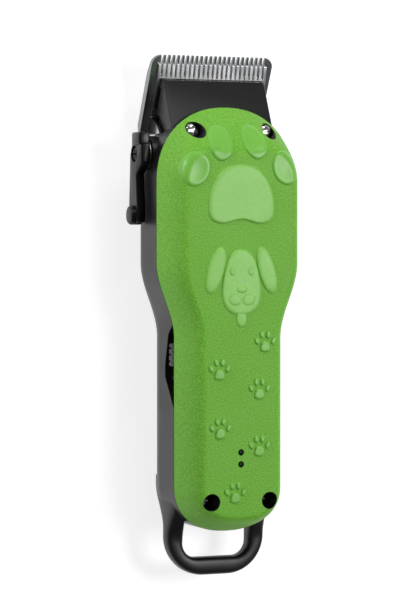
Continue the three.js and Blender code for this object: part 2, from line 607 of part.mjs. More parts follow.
// a pan or flat screw along its own Z: head between 0 and its height, shank below, cross recess in the top
function crossScrew(radius, headRadius, headHeight, reach) {
  const profile = [[0, -reach], [radius, -reach], [radius, 0], [headRadius, 0],
    [headRadius, headHeight * 0.55], [headRadius * 0.7, headHeight * 0.92], [0, headHeight]];
  const lathe = new THREE.LatheGeometry(profile.map(([r, h]) => new THREE.Vector2(r, h)), 14);
  lathe.rotateX(Math.PI / 2);
  const arm = headRadius * 0.62;
  const slot = headRadius * 0.14;
  const depth = headHeight * 0.55;
  return cut(toSolid(lathe), block(-arm, arm, -slot, slot, headHeight - depth, headHeight + 1),
    block(-slot, slot, -arm, arm, headHeight - depth, headHeight + 1));
}

// ---------------------------------------------------------------- cutter drive

const CAM_BACK = MOTOR_FRONT + 5.4;
const CAM_PIN_END = CAM_BACK + 8.2;
const FORK_BACK = CAM_BACK + 4;
const FORK_FRONT = FORK_BACK + 3.2;
const FORK_WINDOW = CAM_THROW + CUTTER_STROKE + CAM_PIN_RADIUS + GAP;
const FORK_HALF = FORK_WINDOW + 1.6;
const YOKE_ROOM = FORK_HALF + CUTTER_STROKE + 0.8;

function cutterYoke() {
  const cutterTop = CUTTER_HIGH + GAP;
  const foot = fromBladeFrame(block(-FORK_HALF, FORK_HALF, CUTTER_BACK + 2.4, CUTTER_BACK + 8, cutterTop,
    cutterTop + 1.8));
  const [rear, low] = [FORK_BACK, MOTOR_Z - CAM_THROW - CAM_PIN_RADIUS - 3];
  const heel = new THREE.Vector3(0, CUTTER_BACK + 2.4, cutterTop + 0.4).applyMatrix4(bladeFrame.matrixWorld);
  const toe = new THREE.Vector3(0, CUTTER_BACK + 8, cutterTop + 1.7).applyMatrix4(bladeFrame.matrixWorld);
  const arm = sidePrism(shapeOf([[rear, low], [rear + 1.4, low - 1.6], [heel.y, heel.z], [toe.y, toe.z],
    [FORK_FRONT, low + 2.4], [FORK_FRONT, MOTOR_Z + 5], [rear, MOTOR_Z + 5]]), -FORK_HALF, FORK_HALF);
  const window = block(-FORK_WINDOW, FORK_WINDOW, rear - 1, FORK_FRONT + 1,
    MOTOR_Z - CAM_THROW - CAM_PIN_RADIUS - GAP, MOTOR_Z + 8);
  return cut(join(foot, arm), window);
}

const SPRING_HALF = 15.5;
const SPRING_RAIL = 2.1;
const SPRING_THICK = 0.8;

// a flat frame: a bridge in front, a rail down each side, and two arms that leave room for the yoke
function tensionSpring() {
  const low = CUTTER_HIGH + GAP;
  const high = low + SPRING_THICK;
  const armInner = FORK_HALF + CUTTER_STROKE + 2 * GAP;
  const bridge = block(-SPRING_HALF, SPRING_HALF, SPRING_FRONT - SPRING_RAIL, SPRING_FRONT, low, high);
  const sides = [-1, 1].flatMap((side) => {
    const span = (a, b) => (side < 0 ? [-b, -a] : [a, b]);
    return [block(...span(armInner, SPRING_HALF), CUTTER_BACK + 1.2, CUTTER_BACK + 5.2, low, high),
      block(...span(SPRING_HALF - SPRING_RAIL, SPRING_HALF), CUTTER_BACK + 3, SPRING_FRONT - 1, low, high)];
  });
  return join(bridge, ...sides);
}

// ---------------------------------------------------------------- motor

const motorAxis = [0, 0, MOTOR_Z];

function motorCan() {
  const can = rod('y', MOTOR_RADIUS, MOTOR_BACK + 3.4, MOTOR_FRONT, motorAxis, 36);
  const boss = rod('y', 3.2, MOTOR_FRONT - 1, MOTOR_FRONT + 2.2, motorAxis);
  const bore = rod('y', MOTOR_SHAFT_RADIUS + GAP, MOTOR_BACK, MOTOR_FRONT + 5, motorAxis, 16);
  const taps = MOTOR_SCREW_XS.map((x) =>
    rod('y', SMALL_RADIUS + GAP, MOTOR_FRONT - 3.4, MOTOR_FRONT + 1, [x, 0, MOTOR_Z], 12));
  return cut(join(can, boss), bore, ...taps);
}

function motorEndCap() {
  const cap = rod('y', MOTOR_RADIUS - 0.6, MOTOR_BACK, MOTOR_BACK + 3.1, motorAxis, 32);
  const terminals = [-1, 1].map((side) =>
    block(side * 7 - 1.2, side * 7 + 1.2, MOTOR_BACK - 3, MOTOR_BACK + 1, MOTOR_Z - 0.4, MOTOR_Z + 0.4));
  const bore = rod('y', MOTOR_SHAFT_RADIUS + GAP, MOTOR_BACK - 4, MOTOR_BACK + 5, motorAxis, 16);
  return cut(join(cap, ...terminals), bore);
}

function motorBracket() {
  const plate = block(-18, 18, BRACKET_BACK, BRACKET_BACK + MOTOR_BRACKET, WALL + 3.6, MOTOR_Z + 10);
  const bores = MOTOR_SCREW_XS.map((x) =>
    rod('y', SMALL_RADIUS + GAP, BRACKET_BACK - 1, BRACKET_BACK + 3, [x, 0, MOTOR_Z], 12));
  return cut(plate, rod('y', 3.2 + GAP, BRACKET_BACK - 1, BRACKET_BACK + 4, motorAxis), ...bores);
}

function eccentricCam() {
  const disc = rod('y', CAM_RADIUS, CAM_BACK, CAM_BACK + 3, motorAxis);
  const pin = rod('y', CAM_PIN_RADIUS, CAM_BACK + 2, CAM_PIN_END, [CAM_THROW, 0, MOTOR_Z], 16);
  const bore = rod('y', MOTOR_SHAFT_RADIUS + GAP, CAM_BACK - 1, CAM_BACK + 2.2, motorAxis, 16);
  return cut(join(disc, pin), bore);
}

// ---------------------------------------------------------------- power

function batteryCell() {
  const cell = rod('y', CELL_RADIUS, CELL_BACK, CELL_BACK + CELL_LENGTH, [0, 0, CELL_Z], 32);
  const front = CELL_BACK + CELL_LENGTH;
  return join(cell, rod('y', CELL_CAP_RADIUS, front - 1, front + CELL_CAP, [0, 0, CELL_Z], 16));
}

function batteryTab(y) {
  return block(-4, 4, y, y + TAB_THICK, CELL_Z - 5, BOARD_Z - GAP);
}

function batteryCradle() {
  const cradle = block(-CRADLE_HALF, CRADLE_HALF, CELL_BACK + 6, CELL_BACK + CELL_LENGTH - 10,
    WALL + GAP, CELL_Z - 4);
  return cut(cradle, rod('y', CELL_RADIUS + GAP, CELL_BACK, CELL_BACK + CELL_LENGTH, [0, 0, CELL_Z], 32));
}

function circuitBoard() {
  const board = block(-BOARD.half, BOARD.half, BOARD.low, BOARD.high, BOARD_Z, BOARD_Z + BOARD_THICK);
  const chips = [block(-6, 0, -30, -24, BOARD_Z + 1, BOARD_Z + BOARD_THICK + 1.4),
    block(2, 7, -42, -38, BOARD_Z + 1, BOARD_Z + BOARD_THICK + 1.2)];
  const holes = BOARD_SCREW_YS.map((y) =>
    rod('z', SMALL_RADIUS + GAP, BOARD_Z - 1, BOARD_Z + 4, [BOARD.half - 3, y, 0], 12));
  return cut(join(board, ...chips), ...holes);
}

function slideSwitch() {
  const low = BOARD_Z + BOARD_THICK + GAP;
  const body = block(-BOARD.half, -BOARD.half + 4, SLIDER_Y - 6.5, SLIDER_Y + 2.5, low, low + 3.4);
  return cut(body, block(-BOARD.half - 1, -BOARD.half + 1.6, SLIDER_Y - STEM_HALF - SLIDER_TRAVEL - GAP,
    SLIDER_Y + STEM_HALF + GAP, low - 1, low + 2.2));
}

function switchSlider() {
  const outer = GRIP_HALF - 0.3;
  const inner = RECESS_FLOOR + GAP;
  const low = SLIDER_Y - SLIDER_LENGTH / 2 - 1;
  const high = SLIDER_Y + SLIDER_LENGTH / 2 - 1;
  const knob = block(-outer, -inner, low, high, SLIDER_LOW, HOUSING_TOP - 0.6);
  const grooves = [0, 1, 2].map((i) =>
    block(-outer - 1, -outer + 0.5, low + 1.4 + i * 2.2, low + 2.2 + i * 2.2, SLIDER_LOW - 1, HOUSING_TOP));
  const stem = block(-inner - 0.5, -BOARD.half - 0.5, SLIDER_Y - STEM_HALF, SLIDER_Y + STEM_HALF,
    STEM_Z - 1, STEM_Z + 1);
  return join(cut(knob, ...grooves), stem);
}

function chargingSocket() {
  const tail = TAIL_CENTRE - TAIL_REACH;
  const barrel = rod('y', SOCKET_RADIUS, tail + 0.3, tail + 11, [0, 0, SOCKET_Z]);
  const bore = rod('y', SOCKET_BORE, tail - 1, tail + 9, [0, 0, SOCKET_Z]);
  const pin = rod('y', 0.65, tail + 1.6, tail + 9.5, [0, 0, SOCKET_Z], 12);
  return join(cut(barrel, bore), pin);
}

function chargeLamp(y) {
  return rod('z', LAMP_RADIUS, BOARD_Z + BOARD_THICK + GAP, CREST - 0.4, [0, y, 0], 12);
}

// ---------------------------------------------------------------- taper lever

const LEVER_HUB_RADIUS = LEVER_SHAFT_RADIUS + 2.6;
const LEVER_SCREW_HEAD = 1.3;
const LEVER_SCREW_SEAT = LEVER_SCREW_HEAD + GAP; // depth of the head's seat in the plate

const leverAxis = [0, LEVER_Y, LEVER_Z];

function taperLever() {
  const plate = shapeOf([[LEVER_TOP, LEVER_HEAD_LOW], [LEVER_TOP, LEVER_HEAD_HIGH],
    [LEVER_Y - 3, LEVER_HEAD_HIGH - 0.4], [LEVER_Y - 7, LEVER_FOOT_HIGH - 1.4],
    [LEVER_FOOT + 4, LEVER_FOOT_HIGH], [LEVER_FOOT, LEVER_FOOT_HIGH - 1.2],
    [LEVER_FOOT, LEVER_FOOT_LOW], [LEVER_FOOT + 6, LEVER_FOOT_LOW], [LEVER_Y, LEVER_Z - 4.1]]);
  const arm = sidePrism(plate, -LEVER_OUTER, -LEVER_INNER);
  const lip = block(-LEVER_OUTER - LEVER_LIP_RISE, -LEVER_INNER, LEVER_TOP - LEVER_LIP, LEVER_TOP,
    LEVER_HEAD_LOW, LEVER_HEAD_HIGH);
  const roll = rod('x', ROLL_RADIUS, -LEVER_OUTER - ROLL_RISE, -LEVER_INNER,
    [0, LEVER_FOOT + ROLL_RADIUS, (LEVER_FOOT_LOW + LEVER_FOOT_HIGH) / 2], 20);
  const hub = rod('x', LEVER_HUB_RADIUS, -LEVER_INNER - 0.5, -LEVER_SEAT - 0.9, leverAxis);
  const bore = rod('x', LEVER_SHAFT_RADIUS + GAP, -LEVER_INNER - 0.5 - GAP, -LEVER_SEAT, leverAxis);
  const screwBore = rod('x', SCREW_RADIUS + GAP, -LEVER_OUTER - 2, -LEVER_SEAT, leverAxis, 16);
  const seatFloor = -LEVER_OUTER + LEVER_SCREW_SEAT;
  const headSeat = rod('x', SCREW_HEAD_RADIUS + GAP, -LEVER_OUTER - 2, seatFloor, leverAxis, 20);
  return cut(join(arm, lip, roll, hub), bore, screwBore, headSeat);
}

function leverWasher() {
  const disc = rod('x', LEVER_HUB_RADIUS + 0.6, -LEVER_SEAT - 0.6, -LEVER_SEAT - GAP, leverAxis);
  return cut(disc, rod('x', LEVER_SHAFT_RADIUS + GAP, -LEVER_SEAT - 2, -LEVER_SEAT + 1, leverAxis));
}

function leverCrank() {
  const inner = EAR_OUTER + GAP;
  const shaft = rod('x', LEVER_SHAFT_RADIUS, -LEVER_INNER - 0.5, -inner, leverAxis);
  const pinPoint = new THREE.Vector3(0, PIN_U, PIN_N).applyMatrix4(bladeFrame.matrixWorld);
  const web = rod('x', CRANK_RADIUS + CRANK_PIN_RADIUS + 0.6, -inner - 1.4, -inner, leverAxis);
  const pinAxis = [0, pinPoint.y, pinPoint.z];
  const pin = rod('x', CRANK_PIN_RADIUS, -inner - 0.5, -EAR_OUTER + EAR_THICK + 1, pinAxis, 14);
  const tap = rod('x', SCREW_RADIUS + GAP, -LEVER_INNER - 2, -LEVER_INNER + 5, leverAxis, 16);
  return cut(join(shaft, web, pin), tap);
}

// ---------------------------------------------------------------- assembly

const clipper = new THREE.Group();

piece('front_cover', frontCover(), greenPlastic, clipper);
piece('rear_housing', rearHousing(), blackPlastic, clipper);

const bladeSet = new THREE.Group();
bladeSet.position.copy(bladeFrame.position);
bladeSet.rotation.copy(bladeFrame.rotation);
clipper.add(bladeSet);
piece('fixed_blade', fixedBlade(), steel, bladeSet);
piece('moving_blade', movingBlade(), steel, bladeSet);
piece('blade_bracket', bladeBracket(), steel, bladeSet);
piece('tension_spring', tensionSpring(), steel, bladeSet);

const bladeScrewReach = BLADE_SCREW_TOP - 1.5;
for (const [word, side] of [['left', -1], ['right', 1]]) {
  const screw = piece(`blade_screw_${word}`,
    crossScrew(SCREW_RADIUS, SCREW_HEAD_RADIUS, 1.2, bladeScrewReach), steel, bladeSet);
  screw.position.set(side * BLADE_SCREW.x, BLADE_SCREW.u, 1.3);
  screw.rotation.y = Math.PI;
}

piece('cutter_yoke', cutterYoke(), whitePlastic, clipper);
piece('motor_can', motorCan(), darkSteel, clipper);
piece('motor_end_cap', motorEndCap(), whitePlastic, clipper);
piece('motor_bracket', motorBracket(), darkSteel, clipper);
piece('motor_shaft', rod('y', MOTOR_SHAFT_RADIUS, MOTOR_BACK + 0.5, CAM_BACK + 1.9, motorAxis, 16), steel,
  clipper);
piece('eccentric_cam', eccentricCam(), brass, clipper);

for (const [word, x] of [['left', MOTOR_SCREW_XS[0]], ['right', MOTOR_SCREW_XS[1]]]) {
  const screw = piece(`motor_screw_${word}`,
    crossScrew(SMALL_RADIUS, SMALL_HEAD_RADIUS, SMALL_HEAD_HEIGHT, 4.4), steel, clipper);
  screw.position.set(x, BRACKET_BACK + MOTOR_BRACKET + GAP, MOTOR_Z);
  screw.rotation.x = -Math.PI / 2;
}

piece('battery_cell', batteryCell(), cellWrap, clipper);
piece('battery_tab_front', batteryTab(CELL_BACK + CELL_LENGTH + CELL_CAP + GAP), steel, clipper);
piece('battery_tab_rear', batteryTab(CELL_BACK - GAP - TAB_THICK), steel, clipper);
piece('battery_cradle', batteryCradle(), whitePlastic, clipper);
piece('circuit_board', circuitBoard(), boardGreen, clipper);

BOARD_SCREW_YS.forEach((y, i) => {
  const screw = piece(`board_screw_${i + 1}`, crossScrew(SMALL_RADIUS, SMALL_HEAD_RADIUS, SMALL_HEAD_HEIGHT,
    BOARD_THICK + 2.4), steel, clipper);
  screw.position.set(BOARD.half - 3, y, BOARD_Z + BOARD_THICK + GAP);
});

LAMP_YS.forEach((y, i) => piece(`charge_lamp_${i + 1}`, chargeLamp(y), smokedPlastic, clipper));
piece('slide_switch', slideSwitch(), darkSteel, clipper);
piece('switch_slider', switchSlider(), blackPlastic, clipper);
piece('charging_socket', chargingSocket(), blackPlastic, clipper);

piece('taper_lever', taperLever(), blackPlastic, clipper);
piece('lever_washer', leverWasher(), steel, clipper);
piece('lever_crank', leverCrank(), darkSteel, clipper);
const leverScrew = piece('lever_screw',
  crossScrew(SCREW_RADIUS, SCREW_HEAD_RADIUS, LEVER_SCREW_HEAD, 5.6), darkSteel, clipper);
leverScrew.position.set(-LEVER_OUTER + LEVER_SCREW_HEAD, LEVER_Y, LEVER_Z);
leverScrew.rotation.y = -Math.PI / 2;

const screwWords = ['upper_left', 'lower_left', 'upper_right', 'lower_right'];
SCREWS.forEach(({ x, y, floor }, i) => {
  const screw = piece(`cover_screw_${screwWords[i]}`,
    crossScrew(SCREW_RADIUS, SCREW_HEAD_RADIUS, SCREW_HEAD_HEIGHT, SCREW_REACH), steel, clipper);
  screw.position.set(x, y, floor + GAP);
});

export default clipper;
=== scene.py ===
"""Looks of a cordless pet-hair clipper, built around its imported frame.

Metres, in the frame of the part: X across, Y towards the blade tips, Z out of the front cover.
Sizes are kept in millimetres in the dataclasses and turned to metres by mm().
"""

import json
import logging
import math
from dataclasses import dataclass
from enum import Enum
from typing import Callable, Iterable, Sequence

import bmesh
import bpy
from mathutils import Matrix, Vector


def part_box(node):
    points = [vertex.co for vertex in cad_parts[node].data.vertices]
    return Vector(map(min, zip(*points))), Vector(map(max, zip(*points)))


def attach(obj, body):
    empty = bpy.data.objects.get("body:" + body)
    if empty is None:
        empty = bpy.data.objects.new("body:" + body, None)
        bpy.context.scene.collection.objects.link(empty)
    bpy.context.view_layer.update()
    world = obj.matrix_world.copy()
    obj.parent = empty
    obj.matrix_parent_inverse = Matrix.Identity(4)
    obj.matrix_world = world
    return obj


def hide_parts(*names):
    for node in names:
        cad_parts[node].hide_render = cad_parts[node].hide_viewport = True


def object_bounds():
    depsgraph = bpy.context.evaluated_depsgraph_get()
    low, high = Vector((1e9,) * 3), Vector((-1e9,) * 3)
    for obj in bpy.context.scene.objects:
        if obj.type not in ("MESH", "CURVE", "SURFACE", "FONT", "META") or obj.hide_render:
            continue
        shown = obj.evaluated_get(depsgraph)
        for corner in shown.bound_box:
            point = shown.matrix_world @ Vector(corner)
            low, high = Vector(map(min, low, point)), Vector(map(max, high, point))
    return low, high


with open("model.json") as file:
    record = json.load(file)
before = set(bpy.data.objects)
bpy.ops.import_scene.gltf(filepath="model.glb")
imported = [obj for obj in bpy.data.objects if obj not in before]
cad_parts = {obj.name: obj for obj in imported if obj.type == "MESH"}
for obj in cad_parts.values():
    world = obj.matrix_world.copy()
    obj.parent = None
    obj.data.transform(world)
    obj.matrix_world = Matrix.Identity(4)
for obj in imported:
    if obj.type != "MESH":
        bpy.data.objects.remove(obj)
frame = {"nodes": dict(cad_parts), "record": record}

CAD_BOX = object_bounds()
LOG = logging.getLogger("clipper")
Ring = list[Vector]
COVER_SCREWS = ("upper_left", "lower_left", "upper_right", "lower_right")


class Join(Enum):
    """How one solid meets another."""

    ADD = "UNION"
    CUT = "DIFFERENCE"
    MEET = "INTERSECT"


class Body(Enum):
    """The moving bodies that the pieces ride on."""

    HOUSING = "housing"
    BLADES = "blade_set"
    CUTTER = "cutter"
    LEVER = "lever"
    SWITCH = "switch"


# ------------------------------------------------------------------ small tools


def mm(value: float) -> float:
    """Turns millimetres into metres."""
    return value * 0.001


def point(x: float, y: float, z: float) -> Vector:
    """A point given in millimetres, as metres."""
    return Vector((mm(x), mm(y), mm(z)))


def lerp(low: float, high: float, share: float) -> float:
    """The value a share of the way from low to high."""
    return low + (high - low) * share


def signed_power(value: float, power: float) -> float:
    """A sine or cosine raised to a power with its sign kept, which squares off a round outline."""
    return math.copysign(abs(value) ** power, value)


def around(count: int) -> list[float]:
    """Evenly spaced angles of one full turn."""
    return [2 * math.pi * i / count for i in range(count)]


def smoothstep(value: float, low: float, high: float) -> float:
    """A soft step from 0 at low to 1 at high."""
    share = min(1.0, max(0.0, (value - low) / (high - low)))
    return share * share * (3 - 2 * share)


def node_box(name: str) -> tuple[Vector, Vector]:
    """Lowest and highest corner of a frame node, in millimetres.

    Args:
        name: the node's name.

    Returns:
        The two corners.
    """
    low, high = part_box(name)
    return Vector(low) * 1000, Vector(high) * 1000


def node_middle(name: str) -> Vector:
    """Middle of a frame node's box, in millimetres."""
    low, high = node_box(name)
    return (low + high) / 2


# ------------------------------------------------------------------ mesh tools


def stack_rings(rings: Sequence[Ring], closed: bool = True) -> bmesh.types.BMesh:
    """Extrudes a circle of vertices through a list of rings.

    Args:
        rings: rings of equal count, in metres, in order.
        closed: whether the first and the last ring are filled.

    Returns:
        The surface.
    """
    bm = bmesh.new()
    made = bmesh.ops.create_circle(bm, cap_ends=False, segments=len(rings[0]), radius=1.0)
    loop = list(made["verts"])
    for vert, place in zip(loop, rings[0]):
        vert.co = place
    edges = list(bm.edges)
    if closed:
        bmesh.ops.contextual_create(bm, geom=edges)
    for ring in rings[1:]:
        made = bmesh.ops.extrude_edge_only(bm, edges=edges)
        fresh = {item for item in made["geom"] if isinstance(item, bmesh.types.BMVert)}
        loop = [next(edge.other_vert(vert) for edge in vert.link_edges if edge.other_vert(vert) in fresh)
                for vert in loop]
        edges = [item for item in made["geom"] if isinstance(item, bmesh.types.BMEdge)
                 and item.verts[0] in fresh and item.verts[1] in fresh]
        for vert, place in zip(loop, ring):
            vert.co = place
    if closed:
        bmesh.ops.contextual_create(bm, geom=edges)
    return bm


def prism(outline: Sequence[tuple[float, float]], low: float, high: float, axis: str,
          bevel: float = 0.0, segments: int = 3) -> bmesh.types.BMesh:
    """Raises a flat outline into a prism and rounds its edges.

    Args:
        outline: points in millimetres, in the two directions that follow the axis.
        low: lower end along the axis, in millimetres.
        high: upper end along the axis, in millimetres.
        axis: "x" for an outline in Y and Z, "z" for one in X and Y.
        bevel: radius of the rounded edges, in millimetres.
        segments: how many faces round an edge.

    Returns:
        The prism.
    """
    bm = bmesh.new()
    if axis == "x":
        verts = [bm.verts.new(point(low, a, b)) for a, b in outline]
        reach = point(high - low, 0, 0)
    else:
        verts = [bm.verts.new(point(a, b, low)) for a, b in outline]
        reach = point(0, 0, high - low)
    face = bm.faces.new(verts)
    made = bmesh.ops.extrude_face_region(bm, geom=[face])
    fresh = [item for item in made["geom"] if isinstance(item, bmesh.types.BMVert)]
    bmesh.ops.translate(bm, verts=fresh, vec=reach)
    bmesh.ops.recalc_face_normals(bm, faces=bm.faces)
    if bevel > 0:
        bmesh.ops.bevel(bm, geom=list(bm.edges), offset=mm(bevel), offset_type="OFFSET", segments=segments,
                        profile=0.5, affect="EDGES", clamp_overlap=True, material=-1)
    return bm


def block(low: Sequence[float], high: Sequence[float], bevel: float = 0.0,
          segments: int = 3) -> bmesh.types.BMesh:
    """A box between two corners in millimetres, with rounded edges.

    Args:
        low: lowest corner.
        high: highest corner.
        bevel: radius of the edges.
        segments: how many faces round an edge.

    Returns:
        The box.
    """
    outline = [(low[0], low[1]), (high[0], low[1]), (high[0], high[1]), (low[0], high[1])]
    return prism(outline, low[2], high[2], "z", bevel, segments)


def turned(profile: Sequence[tuple[float, float]], steps: int = 40) -> bmesh.types.BMesh:
    """Spins a profile round Z.

    Args:
        profile: points (radius, height) in millimetres, from the axis to the axis.
        steps: faces round the turn.

    Returns:
        The turned body, closed.
    """
    bm = bmesh.new()
    verts = [bm.verts.new(point(radius, 0, height)) for radius, height in profile]
    edges = [bm.edges.new(pair) for pair in zip(verts, verts[1:])]
    bmesh.ops.spin(bm, geom=verts + edges, cent=(0, 0, 0), axis=(0, 0, 1), angle=2 * math.pi, steps=steps,
                   use_merge=True)
    bmesh.ops.remove_doubles(bm, verts=bm.verts, dist=mm(0.005))
    bmesh.ops.recalc_face_normals(bm, faces=bm.faces)
    return bm


def rod(radius: float, low: float, high: float, axis: str, through: Sequence[float], bevel: float = 0.0,
        steps: int = 40) -> bmesh.types.BMesh:
    """A round rod with rounded rims.

    Args:
        radius: in millimetres.
        low: lower end along the axis.
        high: upper end along the axis.
        axis: "x", "y" or "z".
        through: a point that the axis passes.
        bevel: radius of the rims.
        steps: faces round the rod.

    Returns:
        The rod.
    """
    profile = [(0, low)]
    for step in range(4 if bevel else 1):
        angle = math.radians(30 * step)
        profile.append((radius - bevel + bevel * math.sin(angle), low + bevel - bevel * math.cos(angle)))
    for step in range(4 if bevel else 1):
        angle = math.radians(30 * step)
        profile.append((radius - bevel + bevel * math.cos(angle), high - bevel + bevel * math.sin(angle)))
    profile.append((0, high))
    bm = turned(profile, steps)
    turn = {"z": Matrix.Identity(4), "x": Matrix.Rotation(math.pi / 2, 4, "Y"),
            "y": Matrix.Rotation(-math.pi / 2, 4, "X")}[axis]
    place = [through["xyz".index(name)] if name != axis else 0.0 for name in "xyz"]
    bmesh.ops.transform(bm, matrix=Matrix.Translation(point(*place)) @ turn, verts=bm.verts)
    return bm


def moved(bm: bmesh.types.BMesh, matrix: Matrix) -> bmesh.types.BMesh:
    """Carries a mesh to its place."""
    bmesh.ops.transform(bm, matrix=matrix, verts=bm.verts)
    return bm


def to_object(bm: bmesh.types.BMesh, name: str) -> bpy.types.Object:
    """Makes an object of a mesh, with its faces pointing out.

    Args:
        bm: the mesh, which is freed.
        name: the object's name.

    Returns:
        The object, in the scene.
    """
    bmesh.ops.recalc_face_normals(bm, faces=bm.faces)
    mesh = bpy.data.meshes.new(name)
    bm.to_mesh(mesh)
    bm.free()
    obj = bpy.data.objects.new(name, mesh)
    bpy.context.scene.collection.objects.link(obj)
    return obj


def combine(obj: bpy.types.Object, tool: bmesh.types.BMesh, how: Join) -> None:
    """Adds a solid to an object, cuts it away or keeps what the two share.

    Args:
        obj: the object that changes.
        tool: the solid, which is used up.
        how: whether it is added, cut away or kept where the two meet.
    """
    other = to_object(tool, "tool")
    modifier = obj.modifiers.new("combine", "BOOLEAN")
    modifier.object = other
    modifier.operation = how.value
    modifier.solver = "EXACT"
    graph = bpy.context.evaluated_depsgraph_get()
    mesh = bpy.data.meshes.new_from_object(obj.evaluated_get(graph))
    obj.modifiers.clear()
    old = obj.data
    obj.data = mesh
    mesh.name = obj.name
    bpy.data.meshes.remove(old)
    used = other.data
    bpy.data.objects.remove(other)
    bpy.data.meshes.remove(used)


def take(obj: bpy.types.Object) -> bmesh.types.BMesh:
    """Takes the mesh out of a helper object and removes the object."""
    bm = bmesh.new()
    bm.from_mesh(obj.data)
    mesh = obj.data
    bpy.data.objects.remove(obj)
    bpy.data.meshes.remove(mesh)
    return bm


def merge(pieces: Iterable[bmesh.types.BMesh]) -> bmesh.types.BMesh:
    """Puts separate islands in one mesh.

    Args:
        pieces: the meshes, which are used up.

    Returns:
        One mesh with all of them.
    """
    whole = bmesh.new()
    for piece in pieces:
        part = bpy.data.meshes.new("part")
        piece.to_mesh(part)
        piece.free()
        whole.from_mesh(part)
        bpy.data.meshes.remove(part)
    return whole


def dress(obj: bpy.types.Object, material: bpy.types.Material, body: Body,
          replaces: Sequence[str] = (), sharp: float = 32.0,
          second: bpy.types.Material | None = None) -> bpy.types.Object:
    """Gives a new piece its finish, its body and the nodes that it stands for.

    Args:
        obj: the piece.
        material: its finish.
        body: the body that it rides on.
        replaces: frame nodes that it stands for.
        sharp: edges steeper than this, in degrees, stay crisp.
        second: finish of the faces that carry material number 1.

    Returns:
        The piece.
    """
    mesh = obj.data
    mesh.materials.clear()
    mesh.materials.append(material)
    if second:
        mesh.materials.append(second)
    for polygon in mesh.polygons:
        polygon.use_smooth = True
    mesh.set_sharp_from_angle(angle=math.radians(sharp))
    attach(obj, body.value)
    if replaces:
        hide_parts(*replaces)
    LOG.info("%s: %d faces, rides on %s", obj.name, len(mesh.polygons), body.value)
    return obj


# ------------------------------------------------------------------ finishes


def linear(code: str) -> tuple[float, float, float, float]:
    """Turns an sRGB hex colour into linear values.

    Args:
        code: six hex digits.

    Returns:
        Red, green, blue and full opacity.
    """
    parts = [int(code[i:i + 2], 16) / 255 for i in (0, 2, 4)]
    values = [part / 12.92 if part <= 0.04045 else ((part + 0.055) / 1.055) ** 2.4 for part in parts]
    return values[0], values[1], values[2], 1.0


def add_node(tree: bpy.types.NodeTree, kind: str, settings: dict | None = None,
             inputs: dict | None = None) -> bpy.types.Node:
    """Adds a shader node with its settings, values and links.

    Args:
        tree: the material's node tree.
        kind: the node's type name.
        settings: properties of the node.
        inputs: input name or number to a value, or to an output socket to link.

    Returns:
        The node.
    """
    node = tree.nodes.new(kind)
    for name, value in (settings or {}).items():
        setattr(node, name, value)
    for name, value in (inputs or {}).items():
        if isinstance(value, bpy.types.NodeSocket):
            tree.links.new(value, node.inputs[name])
        else:
            node.inputs[name].default_value = value
    return node


def blank_material(name: str) -> tuple[bpy.types.Material, bpy.types.NodeTree]:
    """A new material with an empty node tree."""
    material = bpy.data.materials.new(name)
    material.use_nodes = True
    material.node_tree.nodes.clear()
    return material, material.node_tree


def noise(tree: bpy.types.NodeTree, place: bpy.types.NodeSocket, scale: float, detail: float,
          **more: float) -> bpy.types.NodeSocket:
    """A noise pattern over a place, from 0 to 1."""
    inputs = {"Vector": place, "Scale": scale, "Detail": detail, **more}
    return add_node(tree, "ShaderNodeTexNoise", inputs=inputs).outputs["Fac"]


def remap(tree: bpy.types.NodeTree, value: bpy.types.NodeSocket, source: tuple[float, float],
          target: tuple[float, float]) -> bpy.types.NodeSocket:
    """A value carried from one range to another."""
    return add_node(tree, "ShaderNodeMapRange", inputs={
        "Value": value, "From Min": source[0], "From Max": source[1],
        "To Min": target[0], "To Max": target[1]}).outputs[0]


def bumped(tree: bpy.types.NodeTree, height: bpy.types.NodeSocket, strength: float,
           depth: float) -> bpy.types.NodeSocket:
    """A normal tilted by a height pattern, its depth in millimetres."""
    return add_node(tree, "ShaderNodeBump", inputs={
        "Height": height, "Strength": strength, "Distance": mm(depth)}).outputs[0]


def surface(tree: bpy.types.NodeTree, inputs: dict) -> None:
    """Ends a material with a surface shader."""
    shader = add_node(tree, "ShaderNodeBsdfPrincipled", inputs=inputs)
    add_node(tree, "ShaderNodeOutputMaterial", inputs={"Surface": shader.outputs[0]})


@dataclass(frozen=True)
class MouldedPlastic:
    """Injection-moulded plastic with a fine spark-eroded grain.

    The grain scatters the highlight and shows as small light and dark specks.
    """

    name: str
    colour: str
    dark: str
    roughness: float
    grain: float  # grain spacing, millimetres
    depth: float  # grain depth, millimetres
    speck: float = 0.5  # how strongly the specks show
    coat: float = 0.0
    shine: float = 0.5  # share of the surface that reflects

    def build(self) -> bpy.types.Material:
        """Makes the material.

        Returns:
            The material.
        """
        material, tree = blank_material(self.name)
        place = add_node(tree, "ShaderNodeTexCoord").outputs["Object"]
        grain = noise(tree, place, 1000 / self.grain * 0.75, 2.0, Roughness=0.7)
        broad = noise(tree, place, 55.0, 2.0)
        specks = remap(tree, grain, (0.4, 0.62), (0.5 - 0.5 * self.speck, 0.5 + 0.5 * self.speck))
        colour = add_node(tree, "ShaderNodeMix", {"data_type": "RGBA"},
                          {0: specks, 6: linear(self.dark), 7: linear(self.colour)}).outputs[2]
        rough = remap(tree, broad, (0.3, 0.7), (self.roughness - 0.04, self.roughness + 0.04))
        surface(tree, {"Base Color": colour, "Roughness": rough, "IOR": 1.53,
                       "Normal": bumped(tree, grain, 0.9, self.depth), "Coat Weight": self.coat,
                       "Coat Roughness": 0.2, "Specular IOR Level": self.shine})
        return material


